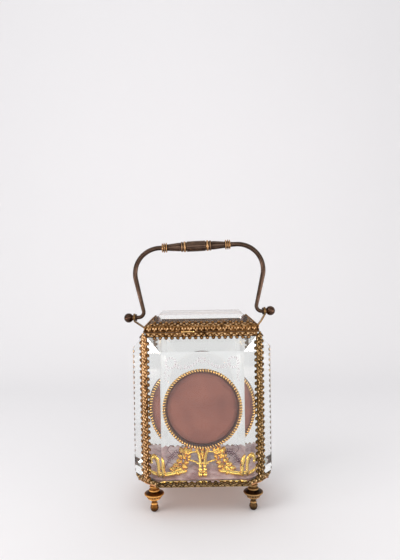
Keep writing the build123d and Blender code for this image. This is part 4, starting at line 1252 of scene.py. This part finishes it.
def make_garlands():
    parts = []
    for s in (-1, 1):
        for k in range(12):
            a = 2 * math.pi * k / 12
            at = (s * 21.4 + 2.7 * math.cos(a), 108.2 + 2.9 * math.sin(a))
            parts.append(etched_leaf(*at, a + s * 1.1, 2.2, 0.5))
        parts.append(tendril(mirrored(SWAG, s)))
        for k in range(9):
            t = k / 8
            px = s * (18.6 - 16.4 * t)
            pz = 106.6 - 8.6 * t * (1 - t) + 3.6 * t * t
            parts.append(etched_leaf(px, pz, 0.9 + 0.7 * math.sin(k), 1.7, 0.42))
            parts.append(etched_leaf(px, pz, -1.4 + 0.5 * math.cos(2 * k), 1.6, 0.42))
        parts.append(tendril(mirrored(DROP, s)))
        for k in range(5):
            at = (s * (24.2 + 0.8 * math.sin(2.3 * k)), 104.0 - 1.9 * k)
            parts.append(etched_leaf(*at, -1.57 + 0.8 * (-1) ** k, 1.8, 0.4))
    parts.append(tendril([(-1.6, 110.4), (0, 112.0), (1.6, 110.4)]))
    for k in range(8):
        a = 2 * math.pi * k / 8
        parts.append(etched_leaf(0.9 * math.cos(a), 109.6 + 0.9 * math.sin(a), a, 1.5, 0.4))
    make_piece("etched_garlands", parts, "case", MATS["frost"])


VINES = (
    ((26.4, 36.6), (23.4, 42.6), (19.6, 46.8), (15.4, 46.4), (14.4, 43.0), (16.8, 41.2), (18.0, 43.2)),
    ((21.4, 45.4), (24.2, 48.6), (22.4, 51.8), (19.8, 50.6)),
    ((24.6, 40.0), (20.4, 38.8), (18.2, 36.0), (20.2, 34.4), (21.6, 36.2)),
)


def make_vines():
    parts = []
    for s in (-1, 1):
        parts += [tendril(mirrored(vine, s)) for vine in VINES]
        for k in range(9):
            t = k / 8
            px, pz = s * (25.6 - 10.6 * t), 38.0 + 9.2 * math.sin(1.75 * t)
            for turn in (0.9 - 2.0 * t, 3.9 - 1.6 * t):
                angle = turn if s < 0 else math.pi - turn
                dx, dz = math.cos(angle), math.sin(angle)
                tip = (px + 2.6 * dx, pz + 2.6 * dz)
                for bow in (-0.7, 0.7):
                    bent = ((px + tip[0]) / 2 - bow * dz, (pz + tip[1]) / 2 + bow * dx)
                    parts.append(tendril([(px, pz), bent, tip], 0.15))
    make_piece("etched_vines", parts, "case", MATS["vine"])


make_posts()
make_rails()
make_lid_rails()
make_feet()
make_arm("left", -1, 10.8, 46.2)
make_arm("right", 1, 14.5, 47.4)
make_grip()
make_bezel()
make_stem()
make_scroll("left", -1)
make_scroll("right", 1)
make_cushion()
make_pad()
make_garlands()
make_vines()
# The thumb lip's lighter colour is a painted highlight on a smoother polish.
NODES["thumb_lip"].data.materials[0] = MATS["polished_highlit"]

# The base sheet, a hair below the plates that stand on it
sheet = bpy.data.objects.new("base_sheet", NODES["base_plate"].data.copy())
scene.collection.objects.link(sheet)
for vertex in sheet.data.vertices:
    if vertex.co.z > (GLASS_Z0 - 0.1) * MM:
        vertex.co.z -= AIR * MM
sheet.data.materials[0] = MATS["base"]
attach(sheet, "case")
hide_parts("base_plate")

make_camera()
make_stage()
make_light()
scene.view_settings.view_transform = "Standard"
scene.cycles.max_bounces = 24
scene.cycles.transmission_bounces = 24
scene.cycles.glossy_bounces = 24
scene.cycles.diffuse_bounces = 5
scene.cycles.transparent_max_bounces = 32
